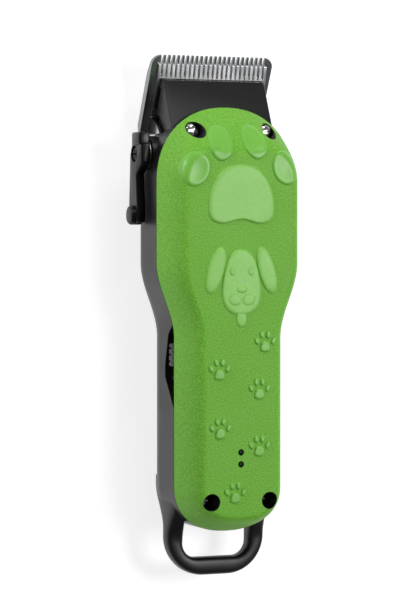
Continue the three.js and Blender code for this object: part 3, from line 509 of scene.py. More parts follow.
@dataclass(frozen=True)
class GroundMetal:
    """Metal finished by a grinding wheel or by turning.

    Fine parallel scratches stretch the highlight across the grain.
    """

    name: str
    colour: str
    roughness: float
    scratch: float = 0.12  # scratch spacing, millimetres
    depth: float = 0.004
    stretch: tuple[float, float, float] = (1.0, 0.06, 0.06)

    def build(self) -> bpy.types.Material:
        """Makes the material.

        Returns:
            The material.
        """
        material, tree = blank_material(self.name)
        place = add_node(tree, "ShaderNodeTexCoord").outputs["Object"]
        along = add_node(tree, "ShaderNodeMapping", inputs={
            "Vector": place, "Scale": self.stretch}).outputs[0]
        lines = noise(tree, along, 1000 / self.scratch * 0.5, 3.0)
        smear = noise(tree, place, 120.0, 3.0)
        rough = remap(tree, smear, (0.3, 0.7), (self.roughness * 0.8, self.roughness * 1.25))
        surface(tree, {"Base Color": linear(self.colour), "Metallic": 1.0, "Roughness": rough,
                       "Normal": bumped(tree, lines, 0.7, self.depth)})
        return material


class Finishes:
    """Every finish of the clipper, by the record's slot."""

    def __init__(self) -> None:
        """Builds the materials once."""
        # ABS with a spark-eroded grain: satin, with fine light and dark specks
        self.green = MouldedPlastic(
            "grained_green_abs", "80C447", "5FA028", 0.55, 0.3, 0.02, 1.0, shine=0.2).build()
        # the reliefs are polished in the mould: smoother and paler
        self.pale_green = MouldedPlastic(
            "polished_green_abs", "8CCB60", "84C356", 0.4, 1.2, 0.004, shine=0.25).build()
        self.smooth_green = MouldedPlastic(
            "smooth_green_abs", "76BC44", "6FB53E", 0.36, 1.2, 0.004, shine=0.35).build()
        # the steep rim of a relief, painted a darker green as the shade along its edge
        self.rim_shade_green = MouldedPlastic(
            "green_abs_rim_painted_shade", "4C9222", "3F8219", 0.5, 0.6, 0.004, shine=0.2).build()
        # black ABS straight from a satin mould: grey sheen at a glancing angle
        self.black = MouldedPlastic(
            "satin_black_abs", "111112", "0C0C0D", 0.38, 0.5, 0.006, shine=0.35).build()
        # black nylon, a little glossier where thumbs polish it
        self.lever = MouldedPlastic(
            "satin_black_nylon", "0D0D0E", "090909", 0.3, 0.6, 0.006, shine=0.2).build()
        # the comb blade: the same steel, painted darker as the shade between and behind the cutter's teeth
        self.shaded_comb_steel = GroundMetal(
            "blade_steel_painted_shade", "8E9092", 0.3, 0.2, 0.003).build()
        # black-oxide steel: dark, with a soft shine
        self.dark_screw = GroundMetal(
            "black_oxide_steel", "2B2B2D", 0.35, 0.3, 0.002, (1, 1, 1)).build()
        self.slots = {
            "green_shell": self.green,
            "black_body": self.black,
            "black_lever": self.lever,
            # high-carbon steel, ground flat across the blade and polished
            "blade_steel": GroundMetal("ground_blade_steel", "F0F1F2", 0.22, 0.15, 0.003).build(),
            # nickel-plated steel, bright and slightly warm
            "bright_screw": GroundMetal(
                "nickel_plated_steel", "D5D6D4", 0.2, 0.3, 0.002, (1, 1, 1)).build(),
            # rolled spring strip, darker and smoother along its length
            "spring_steel": GroundMetal(
                "rolled_spring_steel", "A9ABAE", 0.3, 0.2, 0.003, (0.06, 1, 1)).build(),
            # drawn and zinc-plated steel can, soft grey
            "motor_steel": GroundMetal("zinc_plated_steel", "9A9CA0", 0.4, 0.3, 0.004, (1, 0.1, 1)).build(),
            # natural acetal: milky, waxy
            "white_acetal": MouldedPlastic("natural_acetal", "E6E3DA", "DDD9CE", 0.42, 0.8, 0.004).build(),
            # turned brass
            "cam_brass": GroundMetal("turned_brass", "D8B265", 0.28, 0.2, 0.003, (1, 0.1, 1)).build(),
            # glass-resin board under green solder mask
            "board_resin": MouldedPlastic(
                "solder_masked_glass_resin", "1D6A3B", "165230", 0.35, 0.5, 0.01).build(),
            # heat-shrunk PVC sleeve
            "cell_wrap": MouldedPlastic("shrunk_pvc_sleeve", "2A69B4", "255FA6", 0.25, 2.0, 0.006).build(),
            # smoked clear polycarbonate over the lamps: nearly black until lit
            "lamp_plastic": MouldedPlastic(
                "smoked_polycarbonate", "0B1D10", "08160C", 0.4, 1.0, 0.001, shine=0.15).build(),
            # closed-cell foam rubber, matt
            "cradle_foam": MouldedPlastic("closed_cell_foam", "3A3A3C", "242426", 0.85, 0.6, 0.08).build(),
        }


# ------------------------------------------------------------------ plan outline


@dataclass(frozen=True)
class PlanOutline:
    """The outline shared by the cover and the housing, in millimetres."""

    head_half: float = 25.2
    head_centre: float = 45.0
    head_reach: float = 25.7
    head_power: float = 2.2
    grip_half: float = 18.9
    tail_centre: float = -57.0
    tail_reach: float = 16.0
    tail_power: float = 2.3
    waist_low: float = -7.0
    waist_high: float = 18.0
    end_steps: int = 34
    side_steps: int = 56

    def half_width(self, y: float) -> float:
        """Half width between the two rounded ends."""
        return lerp(self.grip_half, self.head_half, smoothstep(y, self.waist_low, self.waist_high))

    def points(self, inset: float = 0.0) -> list[tuple[float, float]]:
        """The outline from the tail tip up the right side and down the left.

        Args:
            inset: how far a wall draws it in.

        Returns:
            The points.
        """
        right = []
        for i in range(self.end_steps + 1):
            angle = math.pi / 2 * (1 - i / self.end_steps)
            right.append((
                (self.grip_half - inset) * math.cos(angle) ** (2 / self.tail_power) if i else 0.0,
                self.tail_centre - (self.tail_reach - inset) * math.sin(angle) ** (2 / self.tail_power)))
        for i in range(1, self.side_steps):
            y = lerp(self.tail_centre, self.head_centre, i / self.side_steps)
            right.append((self.half_width(y) - inset, y))
        for i in range(self.end_steps + 1):
            angle = math.pi / 2 * i / self.end_steps
            last = i == self.end_steps
            right.append((
                0.0 if last else (self.head_half - inset) * math.cos(angle) ** (2 / self.head_power),
                self.head_centre + (self.head_reach - inset) * math.sin(angle) ** (2 / self.head_power)))
        return right + [(-x, y) for x, y in reversed(right[1:-1])]

    def spine(self, y: float) -> float:
        """The point of the centre line that a point is drawn towards."""
        return min(self.head_centre, max(self.tail_centre, y))

    def ring(self, inset: float, share_at: Callable[[float, float], float],
             height_at: Callable[[float], float]) -> Ring:
        """One ring of a loft, drawn towards the centre line.

        Args:
            inset: wall that draws the outline in.
            share_at: share of the way, from the distance to the centre line and the head share.
            height_at: height, from the head share.

        Returns:
            The ring, in metres.
        """
        ring = []
        for x, y in self.points(inset):
            spine = self.spine(y)
            head = (max(0.0, y - self.head_centre) / (self.head_reach - inset)) ** 2
            share = share_at(math.hypot(x, y - spine), head)
            ring.append(point(x * (1 - share), lerp(y, spine, share), height_at(head)))
        return ring

    def gauge(self, x: float, y: float) -> tuple[float, float, float]:
        """Where a point lies between the centre line and the rim.

        Args:
            x: across, in millimetres.
            y: along, in millimetres.

        Returns:
            Radius share (1 at the rim), distance from centre line to rim, and head share.
        """
        spine = self.spine(y)
        if y > self.head_centre:
            half, reach, power = self.head_half, self.head_reach, self.head_power
        elif y < self.tail_centre:
            half, reach, power = self.grip_half, self.tail_reach, self.tail_power
        else:
            half = self.half_width(y)
            return abs(x) / half, half, 0.0
        radius = ((abs(x) / half) ** power + (abs(y - spine) / reach) ** power) ** (1 / power)
        if radius < 1e-6:
            return 0.0, half, 0.0
        head = (max(0.0, y - spine) / radius / reach) ** 2
        return radius, math.hypot(x, y - spine) / radius, head


# ------------------------------------------------------------------ screws


@dataclass(frozen=True)
class CrossScrew:
    """A cross-recess screw, in millimetres."""

    head_radius: float
    head_height: float
    shank_radius: float
    reach: float

    def build(self) -> bmesh.types.BMesh:
        """Makes the screw along Z, its head from 0 up and its shank down.

        Returns:
            The screw.
        """
        dome = [(self.head_radius * math.cos(a), self.head_height * (0.35 + 0.65 * math.sin(a)))
                for a in (math.radians(deg) for deg in (0, 15, 30, 45, 60, 75))]
        profile = [(0, -self.reach), (self.shank_radius - 0.25, -self.reach),
                   (self.shank_radius, 0.25 - self.reach),
                   (self.shank_radius, 0), (self.head_radius - 0.15, 0), (self.head_radius, 0.15)]
        profile += dome + [(0, self.head_height)]
        screw = to_object(turned(profile, 36), "screw")
        arm = self.head_radius * 0.62
        slot = self.head_radius * 0.13
        floor = self.head_height * 0.3
        for low, high in (((-arm, -slot), (arm, slot)), ((-slot, -arm), (slot, arm))):
            combine(screw, block((*low, floor), (*high, self.head_height + 1), 0.06, 2), Join.CUT)
        return take(screw)


# ------------------------------------------------------------------ front cover


@dataclass
class FrontCover:
    """The green front cover with its wells, lamp holes and reliefs, in millimetres."""

    plan: PlanOutline
    finishes: Finishes
    wall: float = 2.0
    side_edge: float = 6.5
    head_edge: float = 17.0
    side_swell: float = 2.2
    head_swell: float = 1.5
    well_radius: float = 2.95
    well_steps: int = 56
    collar_wall: float = 0.25
    floor_clearance: float = 0.3  # between a well's floor and its screw
    lamp_hole: float = 1.1
    relief: float = 0.55
    steps: int = 26
    screw: CrossScrew = CrossScrew(2.45, 1.8, 1.5, 13.0)

    def __post_init__(self) -> None:
        """Reads the cover's place from the frame."""
        low, high = node_box("front_cover")
        self.base = low.z
        self.top = high.z
        self.crest = self.top - 0.8
        self.screws = []
        for name in COVER_SCREWS:
            corner, far = node_box(f"cover_screw_{name}")
            self.screws.append((name, (corner + far) / 2, corner.z, far.z))
        self.lamps = [node_middle(f"charge_lamp_{i}") for i in (1, 2)]

    def height(self, x: float, y: float) -> float:
        """Height of the smooth cover over a point of the plan."""
        radius, reach, head = self.plan.gauge(x, y)
        edge = lerp(self.side_edge, self.head_edge, head)
        step = min(1.0, max(0.0, (1 - radius) * reach / edge))
        swell = lerp(self.side_swell, self.head_swell, head)
        return self.base + (self.crest - self.base) * (1 - (1 - step) ** swell)

    def form(self, inset: float, base: float) -> bmesh.types.BMesh:
        """The closed form of the cover, drawn in by a wall.

        Args:
            inset: wall thickness.
            base: height of the rim.

        Returns:
            The form.
        """
        rings = []
        for i in range(self.steps + 1):
            step = i / self.steps
            rings.append(self.plan.ring(
                inset,
                lambda reach, head, step=step: step * lerp(self.side_edge, self.head_edge, head) / reach,
                lambda head, step=step: base + (self.crest - inset - base)
                * (1 - (1 - step) ** lerp(self.side_swell, self.head_swell, head))))
        return stack_rings(rings)

    def raised(self, centre: tuple[float, float], outline: Sequence[tuple[float, float]], rise: float,
               rings: int = 10, dome: float = 0.0, edge: float = 0.35) -> bmesh.types.BMesh:
        """A relief that stands on the cover, round a centre that sees its whole outline.

        Args:
            centre: the centre, in the plan.
            outline: points of the outline, in the plan.
            rise: height of its edge over the cover.
            rings: rings between the edge and the centre.
            dome: extra height in the middle.
            edge: share of the way in that the edge takes to round over.

        Returns:
            The relief as a cap whose rim lies just under the cover.
        """
        stack = []
        for i in range(rings + 1):
            share = (i / (rings + 0.5)) ** 1.6
            lift = (math.sqrt(max(0.0, 1 - (1 - min(1.0, share / edge)) ** 2)) * rise
                    + dome * (1 - (1 - share) ** 2))
            ring = []
            for x, y in outline:
                px, py = lerp(x, centre[0], share), lerp(y, centre[1], share)
                ring.append(point(px, py, self.height(px, py) + (lift if i else -0.12)))
            stack.append(ring)
        bm = stack_rings(stack, closed=False)
        # the first band is the steep rim: it takes the second finish, painted shade along the relief's edge
        for face in list(bm.faces)[:len(outline)]:
            face.material_index = 1
        bmesh.ops.holes_fill(bm, edges=[side for side in bm.edges if side.is_boundary], sides=0)
        return bm

    def oval(self, x: float, y: float, half_x: float, half_y: float, turn: float, rise: float,
             dome: float = 0.0, count: int = 40, power: float = 2.0, edge: float = 0.35) -> bmesh.types.BMesh:
        """An oval relief, turned in the plan by an angle in degrees."""
        angle = math.radians(turn)
        outline = []
        for a in around(count):
            u = half_x * signed_power(math.cos(a), 2 / power)
            v = half_y * signed_power(math.sin(a), 2 / power)
            outline.append((x + u * math.cos(angle) - v * math.sin(angle),
                            y + u * math.sin(angle) + v * math.cos(angle)))
        return self.raised((x, y), outline, rise, dome=dome, edge=edge)

    def shell(self) -> bpy.types.Object:
        """The grained shell with its wells and lamp holes.

        Returns:
            The shell.
        """
        shell = to_object(self.form(0, self.base), "cover_shell")
        hollow = to_object(self.form(self.wall, self.base - self.wall), "cover_hollow")
        outer_top = self.crest + 2
        for _, middle, _, _ in self.screws:
            combine(hollow, rod(self.well_radius + 1.4, self.base - 5, outer_top, "z", middle), Join.CUT)
        combine(shell, take(hollow), Join.CUT)
        for _, middle, _, high in self.screws:
            combine(shell, rod(self.well_radius, self.well_floor(high), outer_top, "z", middle,
                               steps=self.well_steps), Join.CUT)
            combine(shell, rod(1.8, self.base - 1, outer_top, "z", middle), Join.CUT)
        for lamp in self.lamps:
            combine(shell, rod(self.lamp_hole, self.crest - 5, outer_top, "z", lamp), Join.CUT)
        return dress(shell, self.finishes.green, Body.HOUSING, ["front_cover"])

    def well_floor(self, top: float) -> float:
        """Floor of a well, from the height of its screw's top."""
        return top - self.screw.head_height - self.floor_clearance

    def liners(self) -> bpy.types.Object:
        """The black collars that show as the dark walls of the wells.

        Returns:
            The four collars as one piece.
        """
        collars = []
        outer, inner = self.well_radius, self.well_radius - self.collar_wall
        for _, middle, _, high in self.screws:
            rings = []
            for radius, sunk in ((outer, None), (outer, 0.3), (inner, 0.4), (inner, None), (outer, None)):
                ring = []
                for a in around(self.well_steps):
                    x, y = middle.x + radius * math.cos(a), middle.y + radius * math.sin(a)
                    ring.append(point(
                        x, y, self.well_floor(high) if sunk is None else self.height(x, y) - sunk))
                rings.append(ring)
            collar = stack_rings(rings, closed=False)
            bmesh.ops.remove_doubles(collar, verts=collar.verts, dist=1e-7)
            collars.append(collar)
        return dress(to_object(merge(collars), "well_collars"), self.finishes.black, Body.HOUSING)

    def pad(self) -> bmesh.types.BMesh:
        """The big pad: rounded at the top, hollowed along its lower edge."""
        outline = []
        for a in around(96):
            x = 12.0 * signed_power(math.cos(a), 0.8)
            if math.sin(a) >= 0:
                y = 37.0 + 14.1 * abs(math.sin(a)) ** 1.1
            else:
                y = 37.0 - 7.0 * abs(math.sin(a)) ** 0.6 + 2.6 * math.exp(-(x / 6.2) ** 2) * abs(math.sin(a))
            outline.append((x, y))
        return self.raised((0, 38.5), outline, 0.7, rings=14, edge=0.09)

    def paw(self, x: float, y: float) -> list[bmesh.types.BMesh]:
        """A small paw print: one pad and four toes."""
        pad = []
        for a in around(36):
            wide = 1.85 - 0.55 * math.sin(a)
            tall = 1.9 * signed_power(math.sin(a), 0.75)
            pad.append((x + wide * signed_power(math.cos(a), 0.85), y - 1.4 + tall))
        toes = [(-3.0, 0.5, 22), (-1.15, 2.6, 6), (1.15, 2.6, -6), (3.0, 0.5, -22)]
        prints = [self.raised((x, y - 1.2), pad, self.relief, rings=6, edge=0.3)]
        for dx, dy, turn in toes:
            prints.append(self.oval(x + dx, y + dy, 0.85, 1.3, turn, self.relief, count=20, edge=0.5))
        return prints

    def dog(self) -> list[bmesh.types.BMesh]:
        """A plain symmetric dog's face with hanging ears, of simple ovals."""
        face = []
        for a in around(72):
            wide = 7.7 - 1.4 * math.sin(a) - 0.8 * math.cos(2 * a)
            face.append((wide * math.cos(a), 11.6 + 11.2 * math.sin(a)))
        tongue = self.oval(0, 0.2, 1.9, 3.6, 0, self.relief - 0.15, 0.1, 32, 2.4, 0.3)
        parts = [tongue, self.raised((0, 12), face, self.relief, rings=10, edge=0.1)]
        for side in (-1, 1):
            parts.append(self.oval(side * 9.3, 15.6, 3.0, 8.2, side * 17,
                                   self.relief + 0.1, 0.1, 48, 2.2, 0.3))
            parts.append(self.oval(side * 3.4, 15.2, 1.3, 1.7, 0,
                                   self.relief + 0.1, 0.12, 28, 2.0, 0.5))
            parts.append(self.oval(side * 2.5, 5.8, 3.0, 2.5, side * 12,
                                   self.relief + 0.08, 0.12, 36, 2.0, 0.5))
        parts.append(self.oval(0, 9.3, 2.3, 1.5, 0, self.relief + 0.15, 0.12, 32, 2.2, 0.5))
        return parts

    def reliefs(self) -> bpy.types.Object:
        """The polished reliefs: the big pad and the dog, and the toes and paws in a deeper green.

        Returns:
            The piece with the toes and paws.
        """
        dress(to_object(merge([self.pad(), *self.dog()]), "cover_pad_and_dog"),
              self.finishes.pale_green, Body.HOUSING, sharp=50, second=self.finishes.rim_shade_green)
        parts = []
        for x, y, half, length, turn in ((-16.3, 49.4, 5.1, 6.0, -18), (16.2, 50.2, 4.8, 6.0, 18),
                                         (-6.6, 58.2, 4.5, 6.2, -8), (5.6, 58.8, 4.3, 6.1, 8)):
            parts.append(self.oval(x, y, half, length, turn, 0.75, -0.55, 64, 2.0, 0.3))
        for x, y in ((8.7, -8.6), (-7.9, -17.8), (6.6, -24.5), (-7.6, -37.6), (6.6, -43.7), (-2.2, -59.2)):
            parts += self.paw(x, y)
        return dress(to_object(merge(parts), "cover_reliefs"), self.finishes.smooth_green, Body.HOUSING,
                     sharp=50, second=self.finishes.rim_shade_green)

    def fasteners(self) -> None:
        """The four cover screws and the two lamp lenses."""
        for name, middle, _, high in self.screws:
            bm = moved(self.screw.build(), Matrix.Translation(
                point(middle.x, middle.y, high - self.screw.head_height)))
            node = f"cover_screw_{name}"
            dress(to_object(bm, f"{node}_head"), self.finishes.slots["bright_screw"], Body.HOUSING,
                  [node])
        for i, lamp in enumerate(self.lamps, 1):
            low, high = node_box(f"charge_lamp_{i}")
            lens = rod(0.78, low.z, high.z, "z", lamp, 0.4)
            dress(to_object(lens, f"lamp_lens_{i}"), self.finishes.slots["lamp_plastic"], Body.HOUSING,
                  [f"charge_lamp_{i}"])

    def build(self) -> None:
        """Builds the shell, the reliefs and what sits in them."""
        self.shell()
        self.liners()
        self.reliefs()
        self.fasteners()


# ------------------------------------------------------------------ rear housing


@dataclass(frozen=True)
class BladeFrame:
    """The tilted frame of the blades: U back from the tips, N up from the skin side, in millimetres."""

    tilt: float = math.radians(27)
    tip_y: float = 89.95
    tip_z: float = 13.7

    def matrix(self) -> Matrix:
        """Carries a mesh from the blade frame to the part's frame."""
        return Matrix.Translation(point(0, self.tip_y, self.tip_z)) @ Matrix.Rotation(self.tilt, 4, "X")

    def rooms(self) -> list[bmesh.types.BMesh]:
        """The rooms that the blades, their bracket and the yoke need in the housing."""
        boxes = [((-23.3, -32.4, -20), (23.3, 5, 5.3)), ((-23.3, -32.4, -20), (23.3, -10.8, 6.6)),
                 ((-19.8, -37.4, -20), (-17.6, -20, 17)), ((-7.5, -28.5, 3.3), (7.5, -10.8, 11))]
        return [moved(block(low, high), self.matrix()) for low, high in boxes]


@dataclass
class RearHousing:
    """The black rear housing with its nose wedge, switch recess and hanging loop, in millimetres."""

    plan: PlanOutline
    finishes: Finishes
    wall: float = 2.0
    corner: float = 14.0
    back_pull: float = 0.6
    nose_half: float = 18.85
    nose_front: float = 80.5
    nose_height: float = 16.0
    nose_slope: float = 0.53
    nose_lip: float = 1.7
    nose_back: float = 61.5
    loop_half: float = 18.0
    loop_corner: float = 13.5
    loop_hole: float = 12.0
    loop_bar: float = 6.2
    loop_hole_corner: float = 5.0
    loop_low: float = 12.5
    loop_high: float = 18.5
    loop_power: float = 3.4  # squareness of the loop's section
    switch_low: float = -32.5
    switch_high: float = -2.0
    switch_floor: float = 18.4
    switch_depth: float = 3.0
    nose_under_slope: float = 0.34
    nose_crown: float = 1.4
    nose_drop: float = 0.9
    nose_face: float = 14.0  # how far back the crown grows to its full height
    boss_radius: float = 6.2
    lever_hole: float = 2.7
    socket_hole: float = 3.9
    post_radius: float = 3.7
    screw_hole: float = 1.8

    def __post_init__(self) -> None:
        """Reads the housing's place and the blade frame."""
        low, high = node_box("rear_housing")
        self.top = high.z
        self.end = low.y
        self.blade = BladeFrame()

    def form(self, inset: float, top: float) -> bmesh.types.BMesh:
        """The closed form of the housing, drawn in by a wall.

        Args:
            inset: wall thickness.
            top: height of the rim.

        Returns:
            The form.
        """
        rings = []
        for i in range(19):
            angle = math.pi / 2 * i / 18
            rings.append(self.plan.ring(inset, lambda _, __, a=angle: self.back_pull * (1 - math.sin(a)),
                                        lambda _, a=angle: inset + (self.corner - inset) * (1 - math.cos(a))))
        rings.append(self.plan.ring(inset, lambda _, __: 0.0, lambda _: top))
        return stack_rings(rings)

    def nose(self, inset: float) -> bmesh.types.BMesh:
        """The wedge in front of the blades, crowned across its face.

        Args:
            inset: wall that draws it in, 0 for the outside.

        Returns:
            The wedge.
        """
        back = self.nose_back - (self.wall if inset else 0)
        front = self.nose_front - inset * 3
        round_over = 0.55 if not inset else 0.0
        rings = []
        half = self.nose_half - inset
        edge = [0.0, 0.04, 0.15, 0.32, 0.5]
        columns = [half - step for step in edge] + [(half - 0.5) * (1 - i / 14) for i in range(1, 14)]
        for x in [-x for x in columns] + [0.0] + columns[::-1]:
            crown = self.nose_crown * (1 - (x / self.nose_half) ** 2) - self.nose_drop
            side = max(0.0, abs(x) - (half - 0.5)) / 0.5
            ease = 0.5 * (1 - math.sqrt(max(0.0, 1 - side * side))) if not inset else 0.0

            def top_at(y: float) -> float:
                return self.nose_height + (self.nose_front - y) * self.nose_slope - inset - ease + (
                    crown * (self.nose_front - y) / self.nose_face if not inset else 0)

            def low_at(y: float) -> float:
                return (self.nose_height - self.nose_lip
                        - (self.nose_front - y) * self.nose_under_slope + inset + ease)

            tip = front - ease
            outline = [(back, top_at(back)), (back, low_at(back))]
            outline += [(tip - round_over, low_at(tip - round_over))]
            for k in range(5):
                a = -math.pi / 2 + math.pi * k / 4
                middle = (top_at(tip) + low_at(tip)) / 2
                thick = (top_at(tip) - low_at(tip)) / 2
                outline.append((tip - round_over + round_over * math.cos(a), middle + thick * math.sin(a)))
            outline.append((tip - round_over * 2, top_at(tip - round_over * 2)))
            rings.append([point(x, y, z) for y, z in outline])
        return stack_rings(rings)

    def loop(self) -> bmesh.types.BMesh:
        """The hanging loop, swept with a rounded section from one arm to the other.

        Returns:
            The loop, its ends inside the housing.
        """
        outer, inner = [], []
        start = self.plan.tail_centre + 2
        arm_outer = self.end + self.loop_corner
        arm_inner = self.end + self.loop_bar + self.loop_hole_corner
        for i in range(20):
            share = i / 19
            outer.append((self.loop_half, lerp(start, arm_outer, share)))
            inner.append((self.loop_hole, lerp(start, arm_inner, share)))
        for i in range(1, 17):
            a = math.pi / 2 * i / 16
            outer.append((self.loop_half - self.loop_corner * (1 - math.cos(a)),
                          arm_outer - self.loop_corner * math.sin(a)))
            inner.append((self.loop_hole - self.loop_hole_corner * (1 - math.cos(a)),
                          arm_inner - self.loop_hole_corner * math.sin(a)))
        outer += [(-x, y) for x, y in reversed(outer)]
        inner += [(-x, y) for x, y in reversed(inner)]
        rings = []
        for (ox, oy), (ix, iy) in zip(outer, inner):
            y = (oy + iy) / 2
            tail = self.plan.tail_centre - self.plan.tail_reach
            low = lerp(self.loop_low, 4.0, smoothstep(y, tail - 1, tail + 15))
            high = lerp(self.loop_high, self.top - 0.4, smoothstep(y, tail - 4, tail + 14))
            ring = []
            for a in around(28):
                u = signed_power(math.cos(a), 2 / self.loop_power) * 0.5 + 0.5
                v = signed_power(math.sin(a), 2 / self.loop_power) * 0.5 + 0.5
                ring.append(point(lerp(ix, ox, u), lerp(iy, oy, u), lerp(low, high, v)))
            rings.append(ring)
        return stack_rings(rings)

    def recess(self) -> bmesh.types.BMesh:
        """The scooped hollow round the switch, with a slanting lower lip."""
        floor = self.plan.grip_half - self.switch_depth
        outline = [(self.switch_low, self.top + 1), (self.switch_low + 12, self.switch_floor),
                   (self.switch_low + 16, self.switch_floor), (self.switch_high - 4, self.switch_floor + 3),
                   (self.switch_high, self.top + 1)]
        return prism(outline, -self.plan.grip_half - 4, -floor, "x", 0.5)

    def build(self) -> None:
        """Builds the housing as one moulded piece."""
        shell = to_object(self.form(0, self.top), "housing_shell")
        combine(shell, self.nose(0), Join.ADD)
        combine(shell, self.loop(), Join.ADD)
        pivot = node_middle("lever_washer")
        combine(shell, rod(self.boss_radius, -24.6, -19.2, "x", pivot, 0.4), Join.ADD)
        combine(shell, self.form(self.wall, self.top + self.wall), Join.CUT)
        combine(shell, self.nose(self.wall), Join.CUT)
        panel_x = self.plan.grip_half - self.switch_depth
        combine(shell, block((-self.plan.grip_half + 0.3, self.switch_low - 1.6, self.switch_floor - 1.8),
                             (-panel_x + 1.6, self.switch_high + 1.6, self.top)), Join.ADD)
        combine(shell, self.recess(), Join.CUT)
        slider_low, slider_high = node_box("switch_slider")
        stem_z = (slider_low.z + slider_high.z) / 2
        combine(shell, block((-self.plan.grip_half, slider_low.y - 2.4, stem_z - 1.1),
                             (-panel_x + 3, slider_high.y - 0.8, stem_z + 1.5)), Join.CUT)
        combine(shell, rod(self.lever_hole, -26, -15, "x", pivot), Join.CUT)
        combine(shell, rod(self.socket_hole, -80, -57, "y", node_middle("charging_socket")), Join.CUT)
        for name in COVER_SCREWS:
            corner, far = node_box(f"cover_screw_{name}")
            middle = (corner + far) / 2
            combine(shell, rod(self.post_radius, 12 if middle.y > 0 else 1, self.top, "z", middle),
                    Join.ADD)
            combine(shell, rod(self.screw_hole, corner.z - 1, self.top + 1, "z", middle), Join.CUT)
        for room in self.blade.rooms():
            combine(shell, room, Join.CUT)
        dress(shell, self.finishes.black, Body.HOUSING, ["rear_housing"], sharp=28)


# ------------------------------------------------------------------ blades


@dataclass
class Blades:
    """The fixed comb blade and the cutter with their ground, tapered teeth, in millimetres."""

    place: BladeFrame
    finishes: Finishes
    half: float = 22.3
    length: float = 29.5
    thick: float = 3.0
    corner: float = 3.4
    cutter_half: float = 20.0
    cutter_front: float = 3.0
    cutter_length: float = 19.4
    cutter_low: float = 3.3
    cutter_high: float = 4.9
    pitch: float = 1.7
    slots: int = 23
    gap: float = 0.38  # half width of a slot at its root
    mouth: float = 0.44  # half width of a slot at the tips

    def comb(self, front: float, length: float, low: float, high: float) -> bmesh.types.BMesh:
        """The slots between the teeth, rounded at the root.

        Args:
            front: where the tips stand.
            length: how deep the slots are.
            low: lower end of the slots.
            high: upper end of the slots.

        Returns:
            The slots as separate islands.
        """
        tools = []
        for i in range(self.slots):
            x = (i - (self.slots - 1) / 2) * self.pitch
            root = front - length
            outline = [(x - self.mouth, front + 0.2), (x - self.gap, root + self.gap)]
            outline += [(x - self.gap * math.cos(a), root + self.gap - self.gap * math.sin(a))
                        for a in (math.radians(deg) for deg in (30, 60, 90, 120, 150))]
            outline += [(x + self.gap, root + self.gap), (x + self.mouth, front + 0.2)]
            tools.append(prism(outline, low, high, "z"))
        return merge(tools)

    def fixed(self) -> None:
        """The comb blade: ground flat on top, hollow-ground towards its tips underneath."""
        profile = [(-self.length, 1.6), (-self.length + 2, 0), (-8.0, 0), (-0.2, 2.0), (0, 2.2), (0, 2.5),
                   (-0.3, 2.75), (-2.4, self.thick), (-self.length, self.thick)]
        blade = to_object(prism(profile, -self.half, self.half, "x"), "comb_blade")
        plan = [(-self.half, -self.length - 1), (self.half, -self.length - 1)]
        for side, start in ((1, 0), (-1, 90)):
            plan += [(side * (self.half - self.corner) + self.corner * math.cos(math.radians(start + deg)),
                      -self.corner + self.corner * math.sin(math.radians(start + deg)))
                     for deg in range(0, 91, 6)]
        combine(blade, prism(plan, -1, self.thick + 1, "z"), Join.MEET)
        for side in (-1, 1):
            through = (side * 11.5, -26.2, 0)
            combine(blade, rod(1.8, -1, self.thick + 1, "z", through), Join.CUT)
            combine(blade, rod(2.8, -1, 1.6, "z", through), Join.CUT)
        combine(blade, self.comb(0, 7.0, -1, self.thick + 1), Join.CUT)
        obj = to_object(moved(take(blade), self.place.matrix()), "comb_blade")
        # the comb takes the same steel painted darker as shade
        dress(obj, self.finishes.shaded_comb_steel, Body.BLADES, ["fixed_blade"], sharp=20)

    def cutter(self) -> None:
        """The cutter: a bar with a ground slope in front and a window for the yoke."""
        back = -self.cutter_front - self.cutter_length
        tip = -self.cutter_front
        profile = [(back, self.cutter_low), (tip, self.cutter_low), (tip, self.cutter_low + 0.45),
                   (tip - 4.6, self.cutter_high), (back + 0.3, self.cutter_high),
                   (back, self.cutter_high - 0.3)]
        bar = to_object(prism(profile, -self.cutter_half, self.cutter_half, "x"), "cutter_blade")
        combine(bar, self.comb(tip, 4.6, self.cutter_low - 1, self.cutter_high + 1), Join.CUT)
        combine(bar, block((-5, back + 3.2, 0), (5, back + 6.8, 9)), Join.CUT)
        obj = to_object(moved(take(bar), self.place.matrix()), "cutter_blade")
        dress(obj, self.finishes.slots["blade_steel"], Body.CUTTER, ["moving_blade"], sharp=20)

    def build(self) -> None:
        """Builds both blades."""
        self.fixed()
        self.cutter()


# ------------------------------------------------------------------ lever and switch


